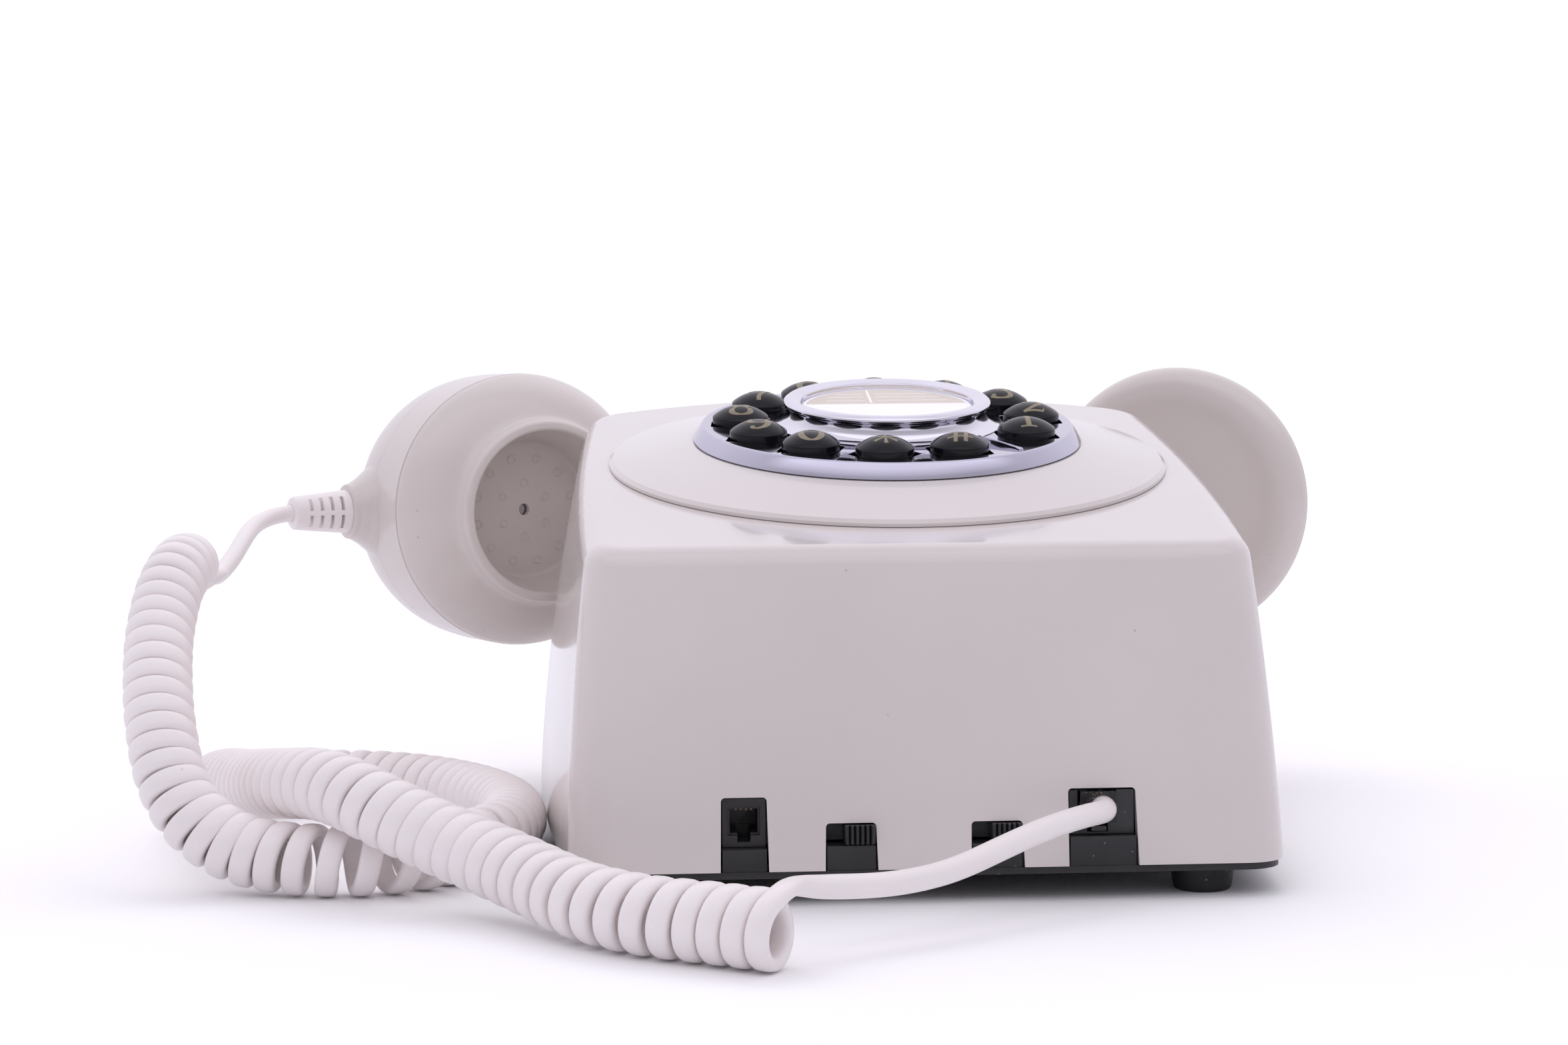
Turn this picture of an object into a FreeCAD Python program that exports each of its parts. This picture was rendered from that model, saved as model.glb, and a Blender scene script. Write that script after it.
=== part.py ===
import FreeCAD, Part
import Sketcher
import math, os
from FreeCAD import Vector, Placement, Rotation

# Push-button telephone with a round tilted dial, a handset across its far end and a coiled cord.
# Millimetres, +Z up, near end at -Y, handset at +Y with its mouth bell at -X.
# Origin: the middle of the two keyholes, on the underside of the base plate.

SIZES = [
    # dial frame and chromed ring
    ("dial_height", 88.2), ("dial_tilt", 11.0),
    ("ring_radius", 44.2), ("ring_top_radius", 43.3), ("ring_skirt", 3.4), ("ring_plate", 1.5),
    ("ring_bore", 20.0), ("key_circle", 33.3), ("key_pitch_deg", 29.0), ("first_key_deg", -26.0),
    # keys and their guide, measured up and down from the ring's face
    ("key_radius", 6.05), ("key_hole", 6.6), ("key_shoulder", 2.5), ("key_crown", 4.2),
    ("key_flange", 7.0), ("key_flange_top", 5.2), ("key_bottom", 6.7), ("key_hollow", 5.0),
    ("key_ceiling", 2.9),
    ("guide_radius", 43.1), ("guide_top", 3.6), ("guide_bottom", 5.0), ("guide_hole", 6.15),
    # hub, card and window
    ("hub_base", 25.0), ("hub_neck", 22.9), ("hub_lip", 23.3), ("hub_height", 5.9),
    ("hub_bore", 19.5), ("window_radius", 19.3), ("card_radius", 19.2),
    # surround, mat and key board
    ("surround_radius", 63.3), ("surround_inner", 43.3), ("surround_base", 8.9),
    ("surround_skirt", 55.6),
    ("mat_radius", 50.0), ("mat_top", 8.4), ("mat_bottom", 10.2), ("dome_base", 4.0),
    ("dome_tip", 2.8), ("board_top", 10.4), ("board_bottom", 12.0),
    # housing and base plate
    ("wall", 2.6), ("housing_bottom", 1.5), ("housing_top", 79.0), ("top_edge", 5.0),
    ("near_y", -89.3), ("near_draft", 0.2089),
    ("plate_lower", 1.35), ("plate_upper", 2.4),
    ("keyhole_spacing", 90.0), ("keyhole_head", 4.0), ("keyhole_slot", 2.2), ("keyhole_run", 8.0),
    ("foot_top", 6.4), ("foot_bottom", 5.5), ("foot_height", 5.4),
    ("pcb_level", 20.0), ("pcb_thick", 1.6),
    # handset
    ("cap_radius", 34.8), ("cup_floor", 17.2), ("cup_rim", 22.0), ("cup_height", 16.4),
    ("mic_hole", 1.13),
    ("mouth_x", -86.6), ("ear_x", 82.7), ("set_y", 82.0), ("set_z", 65.9), ("set_tilt", 27.4),
    # cord and bell
    ("coil_radius", 7.35), ("coil_bore", 2.85), ("strand_radius", 2.25), ("lead_radius", 2.05),
    ("gong_radius", 26.0), ("gong_height", 14.0), ("gong_wall", 1.4),
]


class Dim(float):
    """A number that carries the sheet expression behind it through +, - and *."""

    def __new__(cls, value, text=None):
        self = super().__new__(cls, value)
        self.text = text or ("%r" if value >= 0 else "(0 - %r)") % abs(float(value))
        return self

    def __add__(self, other):
        return Dim(float.__add__(self, other), "(%s + %s)" % (self.text, dim(other).text))

    def __sub__(self, other):
        return Dim(float.__sub__(self, other), "(%s - %s)" % (self.text, dim(other).text))

    def __neg__(self):
        return Dim(-float(self), "(0 - %s)" % self.text)

    def __mul__(self, factor):
        return Dim(float.__mul__(self, factor), "(%s * %r)" % (self.text, float(factor)))


def dim(value):
    return value if isinstance(value, Dim) else Dim(value)


class Sizes:
    """Holds each sheet size under its alias."""


doc = FreeCAD.newDocument("telephone")
sheet = doc.addObject("Spreadsheet::Sheet", "Params")
size = Sizes()
for row, (alias, value) in enumerate(SIZES, start=1):
    sheet.set("A%d" % row, alias)
    sheet.set("B%d" % row, str(value))
    sheet.setAlias("B%d" % row, alias)
    setattr(size, alias, Dim(value, "Params." + alias))
doc.recompute()

pieces = []


# ---------------------------------------------------------------- document helpers
def piece(obj, label):
    """Mark an object as one that gets its own file."""
    obj.Label = label
    pieces.append(obj)
    return obj


def bind(obj, prop, value):
    setattr(obj, prop, float(value))
    obj.setExpression(prop, dim(value).text)


def new_body(label, place=None):
    body = piece(doc.addObject("PartDesign::Body", "Body_" + label), label)
    if place is not None:
        body.Placement = place
    return body


def new_sketch(body, name, plane="XY_Plane", offset=None):
    sketch = body.newObject("Sketcher::SketchObject", name)
    support = [f for f in body.Origin.OriginFeatures if f.Role == plane][0]
    sketch.AttachmentSupport = [(support, "")]
    sketch.MapMode = "FlatFace"
    if offset is not None:
        sketch.AttachmentOffset = at(0, 0, offset)
        sketch.setExpression("AttachmentOffset.Base.z", dim(offset).text)
    return sketch


def pin(sketch, geo, pos, x, y):
    """Hold a sketch point at (x, y) from the sketch origin."""
    for kind, axis, value in (("DistanceX", -2, x), ("DistanceY", -1, y)):
        if abs(value) < 1e-9:
            sketch.addConstraint(Sketcher.Constraint("PointOnObject", geo, pos, axis))
        else:
            i = sketch.addConstraint(Sketcher.Constraint(kind, -1, 1, geo, pos, float(value)))
            sketch.setExpression("Constraints[%d]" % i, dim(value).text)


def ccw_arc(start, middle, end):
    """Anticlockwise arc through three points, whichever way they run."""
    full = Part.Circle(start, middle, end)
    centre = full.Center
    first = math.atan2(start.y - centre.y, start.x - centre.x)
    last = math.atan2(end.y - centre.y, end.x - centre.x)
    if (middle - start).cross(end - middle).z < 0:
        first, last = last, first
    if last < first:
        last += 2 * math.pi
    flat = Part.Circle(Vector(centre.x, centre.y, 0), Vector(0, 0, 1), full.Radius)
    return Part.ArcOfCircle(flat, first, last)


def outline(sketch, points, arcs=None):
    """Closed outline.  arcs: {segment index: middle point} makes that side an arc."""
    arcs = arcs or {}
    spots = [Vector(x, y, 0) for x, y in points]
    count = len(points)
    first = sketch.GeometryCount
    ends = []
    for i, start in enumerate(spots):
        end = spots[(i + 1) % count]
        if i in arcs:
            sketch.addGeometry(ccw_arc(start, Vector(*arcs[i], 0), end), False)
        else:
            sketch.addGeometry(Part.LineSegment(start, end), False)
        forward = (sketch.Geometry[first + i].StartPoint - start).Length < 1e-6
        ends.append((1, 2) if forward else (2, 1))
    for i in range(count):
        j = (i + 1) % count
        sketch.addConstraint(
            Sketcher.Constraint("Coincident", first + i, ends[i][1], first + j, ends[j][0]))
    for i, (x, y) in enumerate(points):
        pin(sketch, first + i, ends[i][0], x, y)
    for i in arcs:
        radius = sketch.Geometry[first + i].Radius
        sketch.addConstraint(Sketcher.Constraint("Radius", first + i, radius))


def circle(sketch, x, y, radius):
    ring = Part.Circle(Vector(x, y, 0), Vector(0, 0, 1), float(radius))
    geo = sketch.addGeometry(ring, False)
    i = sketch.addConstraint(Sketcher.Constraint("Radius", geo, float(radius)))
    sketch.setExpression("Constraints[%d]" % i, dim(radius).text)
    pin(sketch, geo, 3, x, y)


def revolve(body, name, points, arcs=None):
    """Turn an outline of (radius, height) points about the body's Z axis."""
    sketch = new_sketch(body, name + "_outline", "XZ_Plane")
    outline(sketch, points, arcs)
    feature = body.newObject("PartDesign::Revolution", name)
    feature.Profile = sketch
    feature.ReferenceAxis = (sketch, ["V_Axis"])
    feature.Angle = 360.0
    body.Tip = feature
    doc.recompute()


def extrude(kind, body, name, sketch, length):
    """Pad up from the sketch, or Pocket down from it."""
    feature = body.newObject("PartDesign::" + kind, name)
    feature.Profile = sketch
    bind(feature, "Length", length)
    body.Tip = feature
    doc.recompute()


def at(x, y, z, rotation=None):
    return Placement(Vector(x, y, z), rotation or Rotation())


ALONG_Y = Rotation(Vector(1, 0, 0), -90)


def prim(kind, name, place, **sizes):
    obj = doc.addObject("Part::" + kind, name)
    for prop, value in sizes.items():
        bind(obj, prop, value)
    obj.Placement = place
    return obj


def cylinder(name, place, radius, height):
    return prim("Cylinder", name, place, Radius=radius, Height=height)


def box(name, xs, ys, zs):
    """Box from its (low, high) span on each axis."""
    return prim("Box", name, at(xs[0], ys[0], zs[0]),
                Length=xs[1] - xs[0], Width=ys[1] - ys[0], Height=zs[1] - zs[0])


def fuse(name, objs):
    obj = doc.addObject("Part::MultiFuse", name)
    obj.Shapes = objs
    return obj


def cut(name, base, tool):
    obj = doc.addObject("Part::Cut", name)
    obj.Base = base
    obj.Tool = tool
    return obj


def group(name, objs):
    obj = doc.addObject("Part::Compound", name)
    obj.Links = objs
    return obj


def solid_piece(label, shape):
    obj = doc.addObject("Part::Feature", "Solid_" + label)
    obj.Shape = shape
    piece(obj, label)


def polar(radius, degrees):
    angle = math.radians(degrees)
    return radius * math.cos(angle), radius * math.sin(angle)


def turned(points, degrees, x=0.0, y=0.0):
    """Points turned about the origin, then moved by (x, y)."""
    cos, sin = polar(1.0, degrees)
    return [(x + (u * cos - v * sin), y + (u * sin + v * cos)) for u, v in points]


# ---------------------------------------------------------------- dial
# The dial frame's Z = 0 is the ring's top face.
TILT = Rotation(Vector(1, 0, 0), size.dial_tilt)
DIAL = at(0, 0, size.dial_height, TILT)

# (key, direction in degrees of the two ears on its hole), anticlockwise round the dial
KEYS = [("1", -31), ("2", -35), ("3", -35), ("4", -20), ("5", 0), ("6", 20),
        ("7", 32), ("8", 32), ("9", 25), ("0", 17), ("star", 0), ("hash", -28)]
# (along, across) of the hexagon whose ends make the ears
EAR_SHAPE = [(8.1, 0), (5.35, 3.85), (-5.35, 3.85), (-8.1, 0), (-5.35, -3.85), (5.35, -3.85)]
FINGER_STOP_DEG = -46.0
# (radius, offset across) of the finger-stop ridge
FINGER_STOP = [(26.2, -0.5), (39.6, -0.42), (40.9, -0.95), (41.2, 0.1), (40.9, 0.95),
               (39.6, 0.42), (26.2, 0.5)]
CUT_START = 1.0          # height above the ring where the cuts begin
CUT_DEPTH = 4.0
HUB_OPENING = 17.4
HUB_LEDGE = 3.7          # the card lies just above this ledge
BOARD_HOLE_CIRCLE = 46
BOARD_HOLE = 1.6


def key_spots():
    return [polar(size.key_circle, size.first_key_deg + size.key_pitch_deg * i)
            for i in range(len(KEYS))]


def make_surround():
    """Shallow conical disc round the ring, with a skirt that drops into the housing."""
    inner, outer, skirt = size.surround_inner, size.surround_radius, size.surround_skirt
    seat = -size.guide_bottom - 0.05
    revolve(new_body("dial_surround", DIAL), "surround_turned", [
        (inner, -size.guide_top), (inner + 1.3, -size.guide_top),
        (outer - 0.9, -7.5), (outer, -8.2), (outer, -size.surround_base),
        (skirt + 0.3, -size.surround_base), (skirt, -13.0), (skirt - 2.6, -13.0),
        (skirt - 2.6, -8.0), (46.0, -6.6), (inner - 2.4, -6.6), (inner - 2.4, seat),
        (inner, seat)])


def make_ring():
    """Chromed ring with twelve eared holes and the finger-stop ridge."""
    body = new_body("dial_ring", DIAL)
    outer = size.ring_radius
    revolve(body, "ring_turned", [
        (size.ring_bore, 0), (size.ring_top_radius, 0), (outer - 0.2, -0.8),
        (outer, -size.ring_skirt), (outer - 1.8, -size.ring_skirt),
        (outer - 1.8, -size.ring_plate), (size.ring_bore, -size.ring_plate)],
        {1: (outer - 0.35, -0.24)})
    sketch = new_sketch(body, "key_holes", offset=CUT_START)
    for x, y in key_spots():
        circle(sketch, x, y, size.key_hole)
    extrude("Pocket", body, "key_holes_cut", sketch, CUT_DEPTH)
    sketch = new_sketch(body, "hole_ears", offset=CUT_START)
    for (_, ear_deg), (x, y) in zip(KEYS, key_spots()):
        # x and y go last in each sum so that they stay bound to the sheet
        outline(sketch, [(x + u, y + v) for u, v in turned(EAR_SHAPE, ear_deg)])
    extrude("Pocket", body, "hole_ears_cut", sketch, CUT_DEPTH)
    sketch = new_sketch(body, "finger_stop", offset=-0.2)
    outline(sketch, turned(FINGER_STOP, FINGER_STOP_DEG))
    extrude("Pad", body, "finger_stop_ridge", sketch, 0.9)


def make_hub():
    """Chromed hub, with the number card and its window inside."""
    base, neck, lip = size.hub_base, size.hub_neck, size.hub_lip
    bore, height = size.hub_bore, size.hub_height
    revolve(new_body("hub_bezel", DIAL), "hub_turned", [
        (HUB_OPENING, 0.05), (base, 0.05), (base - 0.9, 0.6), (neck + 0.2, 1.7),
        (neck, 4.1), (lip, 4.6), (lip, 5.3), (lip - 0.8, height),
        (lip - 1.9, height + 0.05), (bore + 0.4, 5.45), (bore, 5.1),
        (bore, HUB_LEDGE), (HUB_OPENING, HUB_LEDGE)])
    body = new_body("number_card", DIAL)
    sketch = new_sketch(body, "card_disc", offset=HUB_LEDGE + 0.05)
    circle(sketch, 0, 0, size.card_radius)
    extrude("Pad", body, "card_sheet", sketch, 0.3)
    rim = size.window_radius
    revolve(new_body("card_window", DIAL), "window_turned", [
        (0, 4.1), (rim, 4.1), (rim, 4.75), (rim - 1.2, 5.05), (0, 5.1)])


def make_key_guide():
    """Plate the keys slide in."""
    body = new_body("key_guide", DIAL)
    sketch = new_sketch(body, "guide_disc", offset=-size.guide_bottom)
    circle(sketch, 0, 0, size.guide_radius)
    circle(sketch, 0, 0, 15.0)
    for x, y in key_spots():
        circle(sketch, x, y, size.guide_hole)
    extrude("Pad", body, "guide_plate", sketch, size.guide_bottom - size.guide_top)


def make_keys():
    """Keys: domed button, barrel, retaining flange and a hollow over the mat's dome."""
    radius, crown, shoulder = size.key_radius, size.key_crown, size.key_shoulder
    rise = crown - shoulder
    sphere = (radius ** 2 + rise ** 2) / (2 * rise)
    middle = (radius * 0.5, crown - sphere + math.sqrt(sphere ** 2 - radius ** 2 * 0.25))
    for (key, _), (x, y) in zip(KEYS, key_spots()):
        body = new_body("key_" + key, Placement(DIAL.multVec(Vector(x, y, 0)), TILT))
        revolve(body, "key_turned_" + key, [
            (0, crown), (0, -size.key_ceiling), (size.key_hollow, -size.key_ceiling),
            (size.key_hollow, -size.key_bottom), (size.key_flange, -size.key_bottom),
            (size.key_flange, -size.key_flange_top), (radius, -size.key_flange_top),
            (radius, shoulder)], {7: middle})


def make_mat():
    """Silicone mat with one dome under each key."""
    parts = [cylinder("mat_sheet", at(0, 0, -size.mat_bottom), size.mat_radius,
                      size.mat_bottom - size.mat_top)]
    for i, (x, y) in enumerate(key_spots()):
        parts.append(prim("Cone", "mat_dome_%d" % i, at(x, y, -size.mat_top - 0.2),
                          Radius1=size.dome_base, Radius2=size.dome_tip, Height=3.9))
    piece(fuse("mat_fused", parts), "key_mat").Placement = DIAL


def make_keypad_board():
    body = new_body("keypad_board", DIAL)
    sketch = new_sketch(body, "board_disc", offset=-size.board_bottom)
    circle(sketch, 0, 0, size.mat_radius)
    for degrees in (45, 135, 225, 315):
        circle(sketch, *polar(BOARD_HOLE_CIRCLE, degrees), BOARD_HOLE)
    extrude("Pad", body, "board_sheet", sketch, size.board_bottom - size.board_top)


# ---------------------------------------------------------------- housing
PLAN_LEVELS = (size.housing_bottom, 45.0, 100.0)
# plan sizes at the three levels
NEAR_HALF_WIDTH = (70.8, 68.6, 62.2)
FAR_HALF_WIDTH = (82.0, 77.4, 65.0)
FAR_CORNER_Y = (70.0, 66.0, 58.0)
FAR_MIDDLE_Y = (88.0, 85.0, 79.5)
SIDE_BULGE = 2.0
# openings in the near wall: (x low, x high, opening top, top of the plate tongue in it)
NOTCHES = [(-41.3, -32.3, 15.8, 5.8), (-20.7, -10.8, 10.6, 6.2), (8.1, 18.2, 10.5, 6.2),
           (27.5, 40.9, 16.5, 7.2)]
SCREWS = [(-57, -61), (57, -61), (-58, 46), (58, 46)]
PILLARS = [(-46, -76), (46, -76), (-46, -44), (46, -44)]
FEET = [(-56, -78), (56, -78), (-62, 64), (62, 64)]
# the hook pins and the saddles lie either side of the handset's middle
SET_MIDDLE_X = (size.ear_x + size.mouth_x) / 2
HOOK_XS = (SET_MIDDLE_X - 36, SET_MIDDLE_X + 36)
SADDLE_WIDTH = 16
SADDLE_START = 70        # near end of each saddle block
SADDLE_FACE = 101.8      # Y of the face behind the handle
SADDLE_LIP = 9           # ledge beyond that face, under the handle
SADDLE_BOTTOM = 44
LEDGE_TOP = 47.9
HOLLOW_START = 62
HOLLOW_WIDTH = 11
STEP_BOTTOM = 1.0        # underside of the base plate's upper step


def at_height(z, values):
    """Value at z of the parabola through the values at the three plan levels."""
    low, mid, high = PLAN_LEVELS
    return (values[0] * (z - mid) * (z - high) / ((low - mid) * (low - high))
            + values[1] * (z - low) * (z - high) / ((mid - low) * (mid - high))
            + values[2] * (z - low) * (z - mid) / ((high - low) * (high - mid)))


def plan_wire(z, inset):
    near_y = size.near_y + size.near_draft * (z - size.housing_bottom) + inset * 1.02
    near_x = at_height(z, NEAR_HALF_WIDTH) - inset
    far_x = at_height(z, FAR_HALF_WIDTH) - inset
    far_y = at_height(z, FAR_CORNER_Y) - inset
    crest_y = at_height(z, FAR_MIDDLE_Y) - inset
    near_left, near_right = Vector(-near_x, near_y, z), Vector(near_x, near_y, z)
    far_right, far_left = Vector(far_x, far_y, z), Vector(-far_x, far_y, z)
    bulge = Vector(SIDE_BULGE, 0, 0)
    right = (near_right + far_right) * 0.5 + bulge
    left = (near_left + far_left) * 0.5 - bulge
    return Part.Wire([Part.LineSegment(near_left, near_right).toShape(),
                      Part.Arc(near_right, right, far_right).toShape(),
                      Part.Arc(far_right, Vector(0, crest_y, z), far_left).toShape(),
                      Part.Arc(far_left, left, near_left).toShape()])


def upright_edges(shape, near, rise):
    """Edges that climb more than rise, at the near or the far end."""
    found = []
    for edge in shape.Edges:
        start, end = edge.Vertexes[0].Point, edge.Vertexes[-1].Point
        if abs(start.z - end.z) > rise and (min(start.y, end.y) < 0) == near:
            found.append(edge)
    return found


def round_corners(shape, near_radius, far_radius, rise):
    shape = shape.makeFillet(near_radius, upright_edges(shape, True, rise))
    return shape.makeFillet(far_radius, upright_edges(shape, False, rise))


def above_top(lift):
    """Slab that fills the space above the sloping top, raised by lift."""
    slab = Part.makeBox(400, 400, 200, Vector(-200, -200, 0))
    slab.Placement = at(0, 0, size.housing_top + lift, TILT)
    return slab


def housing_block(inset, bottom, near_radius, far_radius, lift):
    wires = [plan_wire(z, inset) for z in (bottom,) + PLAN_LEVELS[1:]]
    block = Part.makeLoft(wires, True, False)
    return round_corners(block, near_radius, far_radius, 60).cut(above_top(lift))


def round_top(block):
    normal = TILT.multVec(Vector(0, 0, 1))
    centre = Vector(0, 0, size.housing_top)
    edges = [e for e in block.Edges if e.Length > 2
             and all(abs((v.Point - centre).dot(normal)) < 0.02 for v in e.Vertexes)]
    # the full radius may fail where the rim meets the rounded corners; a smaller one is then used
    try:
        rounded = block.makeFillet(size.top_edge, edges)
        if not rounded.isValid():
            raise RuntimeError("top edge")
    except Exception:
        rounded = block.makeFillet(2.5, edges)
    return rounded


def notch_tool(left, right, top):
    """Slightly flared opening with rounded upper corners."""
    corners = [(left, top), (right, top), (right + 0.3, 0), (left - 0.3, 0), (left, top)]
    depth = 14
    wire = Part.makePolygon([Vector(x, -95, z) for x, z in corners])
    tool = Part.Face(wire).extrude(Vector(0, depth, 0))
    return tool.makeFillet(0.8, [e for e in tool.Edges
                                 if abs(e.Vertexes[0].Point.z - top) < 1e-6
                                 and abs(e.Vertexes[-1].Point.z - top) < 1e-6
                                 and abs(e.Length - depth) < 1e-6])


def add_saddle(shell, x, dial_hole):
    """Cradle saddle for the handle, hollow behind, with a hole for its hook pin."""
    depth = SADDLE_FACE - SADDLE_START + SADDLE_LIP
    block = Part.makeBox(SADDLE_WIDTH, depth, 44,
                         Vector(x - SADDLE_WIDTH / 2, SADDLE_START, SADDLE_BOTTOM))
    block = block.makeFillet(2.0, [e for e in block.Edges if abs(e.Length - depth) < 1e-6])
    block = block.cut(Part.makeBox(20, 20, 36.0, Vector(x - 10, SADDLE_FACE, LEDGE_TOP)))
    hollow = Part.makeBox(HOLLOW_WIDTH, SADDLE_FACE - HOLLOW_START - size.wall, 33,
                          Vector(x - HOLLOW_WIDTH / 2, HOLLOW_START, 49.5))
    shell = shell.fuse(block.cut(dial_hole)).cut(hollow)
    return shell.cut(Part.makeCylinder(2.6, 60, Vector(x, 60, size.set_z), Vector(0, 1, 0)))


def make_upper_housing():
    outer = housing_block(0.0, size.housing_bottom, near_radius=9.0, far_radius=14.0, lift=0.0)
    outer = round_top(outer)
    inner = housing_block(size.wall, 0.5, near_radius=6.4, far_radius=11.4, lift=-3.0)
    shell = outer.cut(inner)
    dial_hole = Part.makeCylinder(size.surround_skirt + 0.7, 30, Vector(0, 0, -20))
    dial_hole.Placement = DIAL
    shell = shell.cut(dial_hole)
    for left, right, top, _ in NOTCHES:
        shell = shell.cut(notch_tool(left, right, top))
    # screw posts from the base up into the top
    for x, y in SCREWS:
        pilot = Part.makeCylinder(1.25, 18, Vector(x, y, 2.0))
        post = Part.makeCylinder(4.2, 90, Vector(x, y, 3.2)).cut(pilot)
        shell = shell.fuse(post.cut(above_top(-1.5)))
    for x in HOOK_XS:
        shell = add_saddle(shell, x, dial_hole)
    solid_piece("upper_housing", shell.removeSplitter())


def plate_layer(inset, rise, shift, near_radius, far_radius):
    """Layer extruded by rise from the housing's bottom plan, then moved up by shift."""
    layer = Part.Face(plan_wire(size.housing_bottom, inset)).extrude(Vector(0, 0, rise))
    layer.translate(Vector(0, 0, shift))
    return round_corners(layer, near_radius, far_radius, 1.0)


def make_base_plate():
    """Rim under the housing wall, a step inside it, tongues that close the notches."""
    bottom = size.housing_bottom
    lower = plate_layer(0.9, -size.plate_lower, size.plate_lower - bottom, 8.1, 13.1)
    upper = plate_layer(3.1, size.plate_upper - STEP_BOTTOM, STEP_BOTTOM - bottom, 6.2, 12.0)
    plate = lower.fuse(upper)
    for left, right, _, top in NOTCHES:
        plate = plate.fuse(
            Part.makeBox(right - left - 0.3, 5.0, top, Vector(left + 0.15, -88.2, 0)))
    half_slot = size.keyhole_slot
    for side in (-1, 1):
        y = side * size.keyhole_spacing / 2
        head = Part.makeCylinder(size.keyhole_head, 10, Vector(0, y, -3))
        slot = Part.makeBox(2 * half_slot, size.keyhole_run, 10, Vector(-half_slot, y, -3))
        end = Part.makeCylinder(half_slot, 10, Vector(0, y + size.keyhole_run, -3))
        plate = plate.cut(head.fuse(slot).fuse(end))
    for x, y in SCREWS:
        plate = plate.cut(Part.makeCylinder(1.6, 10, Vector(x, y, -3)))
        plate = plate.cut(Part.makeCylinder(3.2, 1.3, Vector(x, y, -0.1)))
    for x, y in PILLARS:
        plate = plate.fuse(Part.makeCylinder(3.0, size.pcb_level - 1, Vector(x, y, 1.0)))
        plate = plate.cut(Part.makeCylinder(1.0, 12, Vector(x, y, size.pcb_level - 10)))
    solid_piece("base_plate", plate.removeSplitter())


def make_feet():
    feet = [prim("Cone", "foot_%d" % i, at(x, y, -size.foot_height), Radius1=size.foot_bottom,
                 Radius2=size.foot_top, Height=size.foot_height)
            for i, (x, y) in enumerate(FEET)]
    piece(group("feet_group", feet), "rubber_feet")


def make_screws(label, spots, bearing, head, shank, head_below):
    """Screws whose heads bear at height bearing; head and shank are (radius, length)."""
    if head_below:
        head_z, shank_z, shank_length = bearing - head[1], bearing - 0.1, shank[1]
    else:
        head_z, shank_z, shank_length = bearing, bearing - shank[1], shank[1] + 0.1
    parts = []
    for i, (x, y) in enumerate(spots):
        parts.append(fuse("%s_%d" % (label, i), [
            cylinder("%s_head_%d" % (label, i), at(x, y, head_z), head[0], head[1]),
            cylinder("%s_shank_%d" % (label, i), at(x, y, shank_z), shank[0], shank_length)]))
    piece(group(label + "_group", parts), label)


def make_all_screws():
    make_screws("base_screws", SCREWS, 1.15, head=(2.9, 1.1), shank=(1.2, 14.0),
                head_below=True)
    make_screws("board_screws", PILLARS, size.pcb_level + size.pcb_thick + 0.05,
                head=(2.6, 1.6), shank=(0.95, 9.0), head_below=False)


# ---------------------------------------------------------------- main board and sockets
# boxes on the board: (name, x span, y span, height)
BOARD_BOXES = [("chip_a", (-12, 6), (-66, -58), 3.4), ("chip_b", (14, 24), (-64, -54), 2.6),
               ("relay", (-36, -22), (-62, -52), 10)]
# (x, y, radius, height)
CAPACITORS = [(-14, -48, 3.2, 9.0), (-4, -48, 2.6, 7.0), (32, -60, 4.0, 11.0),
              (33, -48, 2.6, 7.0), (6, -48, 2.6, 6.0)]
CONTACT_PITCH = 1.02
LINE_PIN_X = -38.51      # low side of the first contact in each row of four
PLUG_SLOT_X = 31.53
CORD_X = 34.2            # axis of the cord in the plug
CORD_Z = 12.8


def make_main_board():
    body = new_body("main_board")
    sketch = new_sketch(body, "main_outline", offset=size.pcb_level + 0.02)
    outline(sketch, [(-50, -80.5), (50, -80.5), (50, -40), (-50, -40)])
    for x, y in PILLARS:
        circle(sketch, x, y, 1.3)
    extrude("Pad", body, "main_sheet", sketch, size.pcb_thick)


def make_board_components():
    face = float(size.pcb_level + size.pcb_thick + 0.03)
    parts = [box(name, xs, ys, (face, face + height)) for name, xs, ys, height in BOARD_BOXES]
    for i, (x, y, radius, height) in enumerate(CAPACITORS):
        parts.append(cylinder("capacitor_%d" % i, at(x, y, face), radius, height))
    piece(group("board_parts_group", parts), "board_components")


def make_line_socket():
    """Stepped opening with a latch slot below, and four contacts above."""
    full = fuse("line_solid", [
        box("line_block", (-42.9, -30.9), (-82.9, -68), (6.0, 19.5)),
        box("line_nose", (-41.05, -32.55), (-85.5, -82.8), (5.95, 15.5))])
    cavity = fuse("line_cavity", [
        box("line_hole", (-39.55, -34.05), (-86, -73), (8.6, 13.4)),
        box("line_step", (-40.0, -33.6), (-86, -84.6), (8.2, 13.9)),
        box("line_latch", (-38.1, -35.5), (-86, -74), (6.9, 8.7))])
    piece(cut("line_socket_cut", full, cavity), "line_socket")
    pins = []
    for i in range(4):
        x = LINE_PIN_X + CONTACT_PITCH * i
        pins.append(box("line_pin_%d" % i, (x, x + 0.4), (-83.5, -75), (12.98, 13.3)))
    piece(group("line_contacts_group", pins), "line_contacts")


def make_handset_socket():
    full = fuse("set_solid", [
        box("set_block", (26.6, 41.8), (-82.6, -68), (7.4, 19.5)),
        box("set_nose", (27.75, 40.65), (-85.9, -82.5), (7.35, 16.1))])
    cavity = fuse("set_cavity", [
        box("set_hole", (29.4, 37.2), (-86.2, -74), (9.6, 16.2)),
        box("set_latch", (31.3, 35.5), (-86.2, -75), (7.75, 9.7))])
    piece(cut("set_socket_cut", full, cavity), "handset_socket")


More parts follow.
